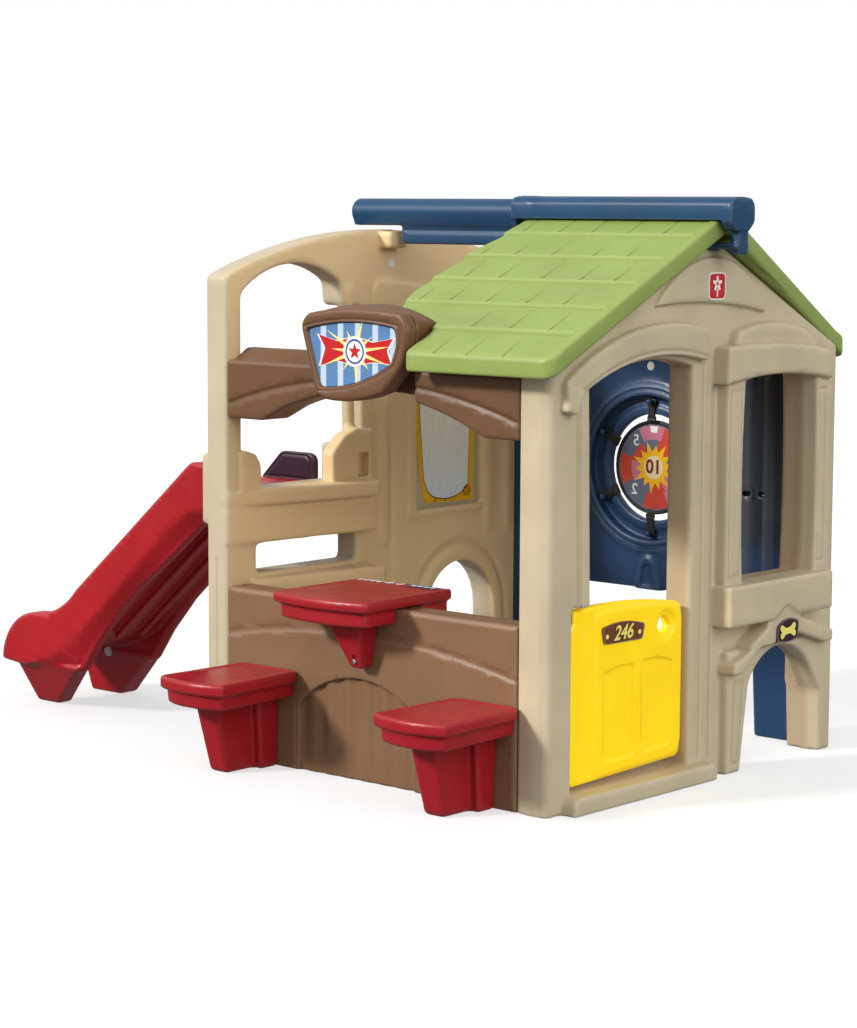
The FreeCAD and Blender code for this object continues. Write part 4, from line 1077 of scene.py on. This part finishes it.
def target_art():
    """Coloured sectors, a sunburst and numbers on both faces of the disc; they read rightly from outside."""
    u, v = TARGET
    colours = (INK_PINK, INK_SLATE, INK_ORANGE, INK_SLATE, INK_ORANGE, INK_PINK, INK_SLATE, INK_ORANGE)
    for side, (depth, way) in enumerate(((1180, -1), (1194, 1))):
        layers = [(filled([ring(u, v, 124)], 0.4), INK_SLATE)]
        for index in range(8):
            start = math.pi / 2 + (index - 0.4) * FULL / 8
            layers.append((filled([sector(u, v, 78, 118, start, start + FULL / 8)], 0.7), colours[index]))
            inner = colours[(index + 3) % 8]
            layers.append((filled([sector(u, v, 30, 78, start + 0.1, start + 0.1 + FULL / 8)], 0.7), inner))
        layers += [(filled([star(u, v, 44, 76, 14, turn=0.1, uneven=0.16)], 1.0), INK_YELLOW),
                   (filled([ring(u, v, 33, 48)], 1.3), INK_CREAM),
                   (digits("10", u, v, 54, 1.6, -1, bold=0.03), INK_RUST),
                   (digits("5", u - 62, v + 72, 44, 1.3, -1), INK_WHITE),
                   (digits("2", u - 66, v - 66, 44, 1.3, -1), INK_WHITE), (filled([[(u - 10, v + 98),
                                                                                    (u + 10, v + 98),
                                                                                    (u + 14, v + 116),
                                                                                    (u - 14, v + 116)]],
                                                                                  1.3), INK_WHITE), ]
        piece = sheets(f"target_art_{side + 1}", "y", depth, way, layers)
        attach(piece, "target")


def plaques():
    """Number plate on the half door, bone plate over the pet door, badge in the gable, marks on the table."""
    plate = soften([(215, 392), (368, 390), (378, 427), (290, 442, "via"), (206, 433)], 9)
    layers = [(filled([plate], 3.4), INK_BROWN), (filled([grow(plate, 0.97)], 3.7), INK_LILAC),
              (filled([grow(plate, 0.94)], 3.9), INK_BROWN),
              (digits("246", 289, 414, 50, 4.2, lean=0.3, bold=0.055), INK_BLACK),
              (digits("246", 289, 414, 50, 4.5, lean=0.3, bold=0.022), INK_BUTTER)]
    layers += [(filled([ring(u, v, 6, 20)], 4.3), INK_BUTTER) for u, v in ((226, 411), (355, 409))]
    settle(sheets("door_plaque_form", "x", -8, 1, layers), "door_plaque", "door")

    plate = soften([(858, 329), (905, 323, "via"), (954, 331), (958, 374), (906, 385, "via"), (860, 367)], 9)
    bone = []
    for step in range(120):
        angle, reach = FULL * step / 120, 40.0
        while reach > 1:
            u, v = reach * math.cos(angle), reach * math.sin(angle)
            if math.hypot(abs(u) - 26, abs(v) - 9.5) < 8.8 or (abs(u) < 27 and abs(v) < 8.4):
                break
            reach -= 0.4
        bone.append((907 + u - 0.06 * v, 353.5 + v + 0.06 * u))
    layers = [(filled([plate], 3.6), INK_PURPLE), (filled([grow(plate, 0.96)], 3.9), INK_LILAC),
              (filled([grow(plate, 0.91)], 4.2), INK_PURPLE), (filled([grow(bone, 1.08)], 4.6), INK_BLACK),
              (filled([bone], 5.0), INK_BUTTER)]
    settle(sheets("pet_plaque_form", "x", 56, 1, layers), "pet_plaque")

    badge = soften(rect(596, 1213, 667, 1281), 13)
    middle = (631.5, 1253)
    petals = [(middle[0] + (14 + 6 * math.cos(5 * a)) * math.cos(a + math.pi / 2),
               middle[1] + (14 + 6 * math.cos(5 * a)) * math.sin(a + math.pi / 2))
              for a in (FULL * i / 80 for i in range(80))]
    layers = [(filled([badge], 2.4), INK_WHITE), (filled([grow(badge, 0.90)], 2.8), INK_RED),
              (filled([petals, ring(*middle, 5, 20)], 3.0), INK_WHITE),
              (filled([soften(rect(629, 1221, 634, 1240), 1)], 3.0), INK_WHITE)]
    settle(sheets("gable_badge_form", "x", 12, 1, layers), "gable_badge")

    layers = [(filled([soften(rect(-600, 160, -508, 186), 6)], 0.5), INK_BLUE)]
    for index in range(4):
        u = -590 + index * 21
        layers.append((filled([soften(rect(u, 167, u + 14, 179), 3)], 0.8), INK_WHITE))
    layers += [(filled([ring(-628, 172, 12, 32)], 0.7), INK_WHITE),
               (filled([ring(-628, 172, 7, 32)], 0.8), INK_RED),
               (filled([star(-664, 172, 7, 15, 5)], 0.8), INK_WHITE)]
    for index in range(4):
        u = -770 + index * 22
        layers.append((filled([[(u, 162), (u + 12, 162), (u + 16, 182), (u + 5, 176)]], 0.8), INK_WHITE))
    settle(sheets("table_decal_form", "z", 484, 1, layers), "table_decal")


def mirror():
    """Soft mirror in a yellow printed frame with a black outline and a coil in its corner."""
    film = [(792, 672), (806, 640), (829, 622), (889, 612, "via"), (951, 624), (981, 646), (986, 800),
            (984, 930), (870, 950, "via"), (772, 930), (774, 859)]
    frame_loop = soften([(795, 604), (1004, 598), (1008, 956), (750, 956), (758, 860), (770, 700)], 12)
    layers = [(filled([frame_loop], 2.0), INK_YELLOW)]
    for reach in (16, 9):
        layers.append((filled([ring(978, 628, reach, 30), ring(978, 628, reach - 2.6, 30)], 2.9), INK_BROWN))
    for u in (838, 884):
        layers.append((filled([[(u, 602), (u + 4, 602), (u + 7, 616), (u + 3, 616)]], 2.3), INK_BROWN))
    layers.append((filled([grow(soften(film, 10), 1.02)], 2.4), INK_BROWN))
    settle(sheets("mirror_frame_form", "x", -1103, 1, layers), "mirror_frame")
    layers = [(filled([soften(film, 10)], 0.4), FILM_PAINTED_REFLECTION)]
    settle(sheets("mirror_film_form", "x", -1100.6, 1, layers), "mirror_film")


def carried():
    """CAD pieces whose shape is right, given their looks."""
    for node, material in (("hinge_pins", STEEL), ("tower_screws", STEEL), ("table_screw", STEEL),
                           ("vent_plugs", WHITE)):
        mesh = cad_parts[node].data
        mesh.materials.clear()
        mesh.materials.append(material)


# ---------------------------------------------------------------- studio


def lamp(name, place, spread, power, colour):
    """An even light from the direction of place; spread is how wide it looks, in degrees."""
    light = bpy.data.lights.new(name, "SUN")
    light.angle, light.energy, light.color = math.radians(spread), power, colour
    lamp = bpy.data.objects.new(name, light)
    lamp.location = place
    lamp.rotation_euler = (-Vector(place)).to_track_quat("-Z", "Y").to_euler()
    bpy.context.scene.collection.objects.link(lamp)


def studio():
    """Seamless pale floor, soft lights and the camera."""
    n = Nodes("studio_floor")
    n.wire(n.mix(n.noise(0.7, 2), (0.35, 0.35, 0.35, 1), (0.38, 0.38, 0.38, 1)),
           n.shader.inputs["Base Color"])
    n.shader.inputs["Roughness"].default_value = 0.9
    n.shader.inputs["Specular IOR Level"].default_value = 0.0
    n.shader.inputs["Emission Color"].default_value = (1, 1, 1, 1)
    n.shader.inputs["Emission Strength"].default_value = 0.62
    mesh = bpy.data.meshes.new("studio_floor")
    reach = 60.0
    mesh.from_pydata([(-reach, -reach, 0), (reach, -reach, 0), (reach, reach, 0), (-reach, reach, 0)], [],
                     [(0, 1, 2, 3)])
    mesh.materials.append(n.material)
    floor = bpy.data.objects.new("studio_floor", mesh)
    floor.visible_diffuse = floor.visible_glossy = False
    bpy.context.scene.collection.objects.link(floor)

    world = bpy.data.worlds.new("studio_white")
    world.use_nodes = True
    tree = world.node_tree
    back = tree.nodes["Background"]
    back.inputs["Color"].default_value = (1, 1, 1, 1)
    height = tree.nodes.new("ShaderNodeSeparateXYZ")
    sky = tree.nodes.new("ShaderNodeMapRange")
    seen = tree.nodes.new("ShaderNodeMath")
    tree.links.new(tree.nodes.new("ShaderNodeTexCoord").outputs["Generated"], height.inputs["Vector"])
    tree.links.new(height.outputs["Z"], sky.inputs["Value"])
    for name, value in (("From Min", -0.15), ("From Max", 0.25), ("To Min", 0.20), ("To Max", 0.66)):
        sky.inputs[name].default_value = value
    seen.operation = "MAXIMUM"
    tree.links.new(sky.outputs["Result"], seen.inputs[0])
    tree.links.new(tree.nodes.new("ShaderNodeLightPath").outputs["Is Camera Ray"], seen.inputs[1])
    tree.links.new(seen.outputs["Value"], back.inputs["Strength"])
    bpy.context.scene.world = world
    lamp("key", (-2.9, -5.6, 3.5), 9, 3.0, (1.0, 0.98, 0.94))
    lamp("fill", (6.2, -1.4, 2.6), 50, 1.35, (1.0, 0.99, 0.97))

    view = bpy.context.scene.view_settings
    view.view_transform, view.look, view.exposure, view.gamma = "Standard", "None", 0.0, 1.0

    lens = bpy.data.cameras.new("camera")
    lens.sensor_fit, lens.sensor_height, lens.lens = "VERTICAL", 36.0, 93.4
    lens.clip_end = 200
    camera = bpy.data.objects.new("camera", lens)
    camera.location = (4.8865, -5.309, 1.45)
    down, around, roll = math.radians(90 - 6.66), math.radians(41.5), math.radians(0.25)
    camera.rotation_euler = (Euler((down, 0, around)).to_matrix() @ Matrix.Rotation(roll, 3, "Z")).to_euler()
    bpy.context.scene.collection.objects.link(camera)
    bpy.context.scene.camera = camera


door_wall()
slide_wall()
low_wall()
arch_beam()
back_wall()
roofs()
ridge_beams()
sign()
sign_art()
stool("stool_left", -922)
stool("stool_right", -188)
table()
half_door()
target()
target_art()
slide()
plaques()
mirror()
carried()
studio()
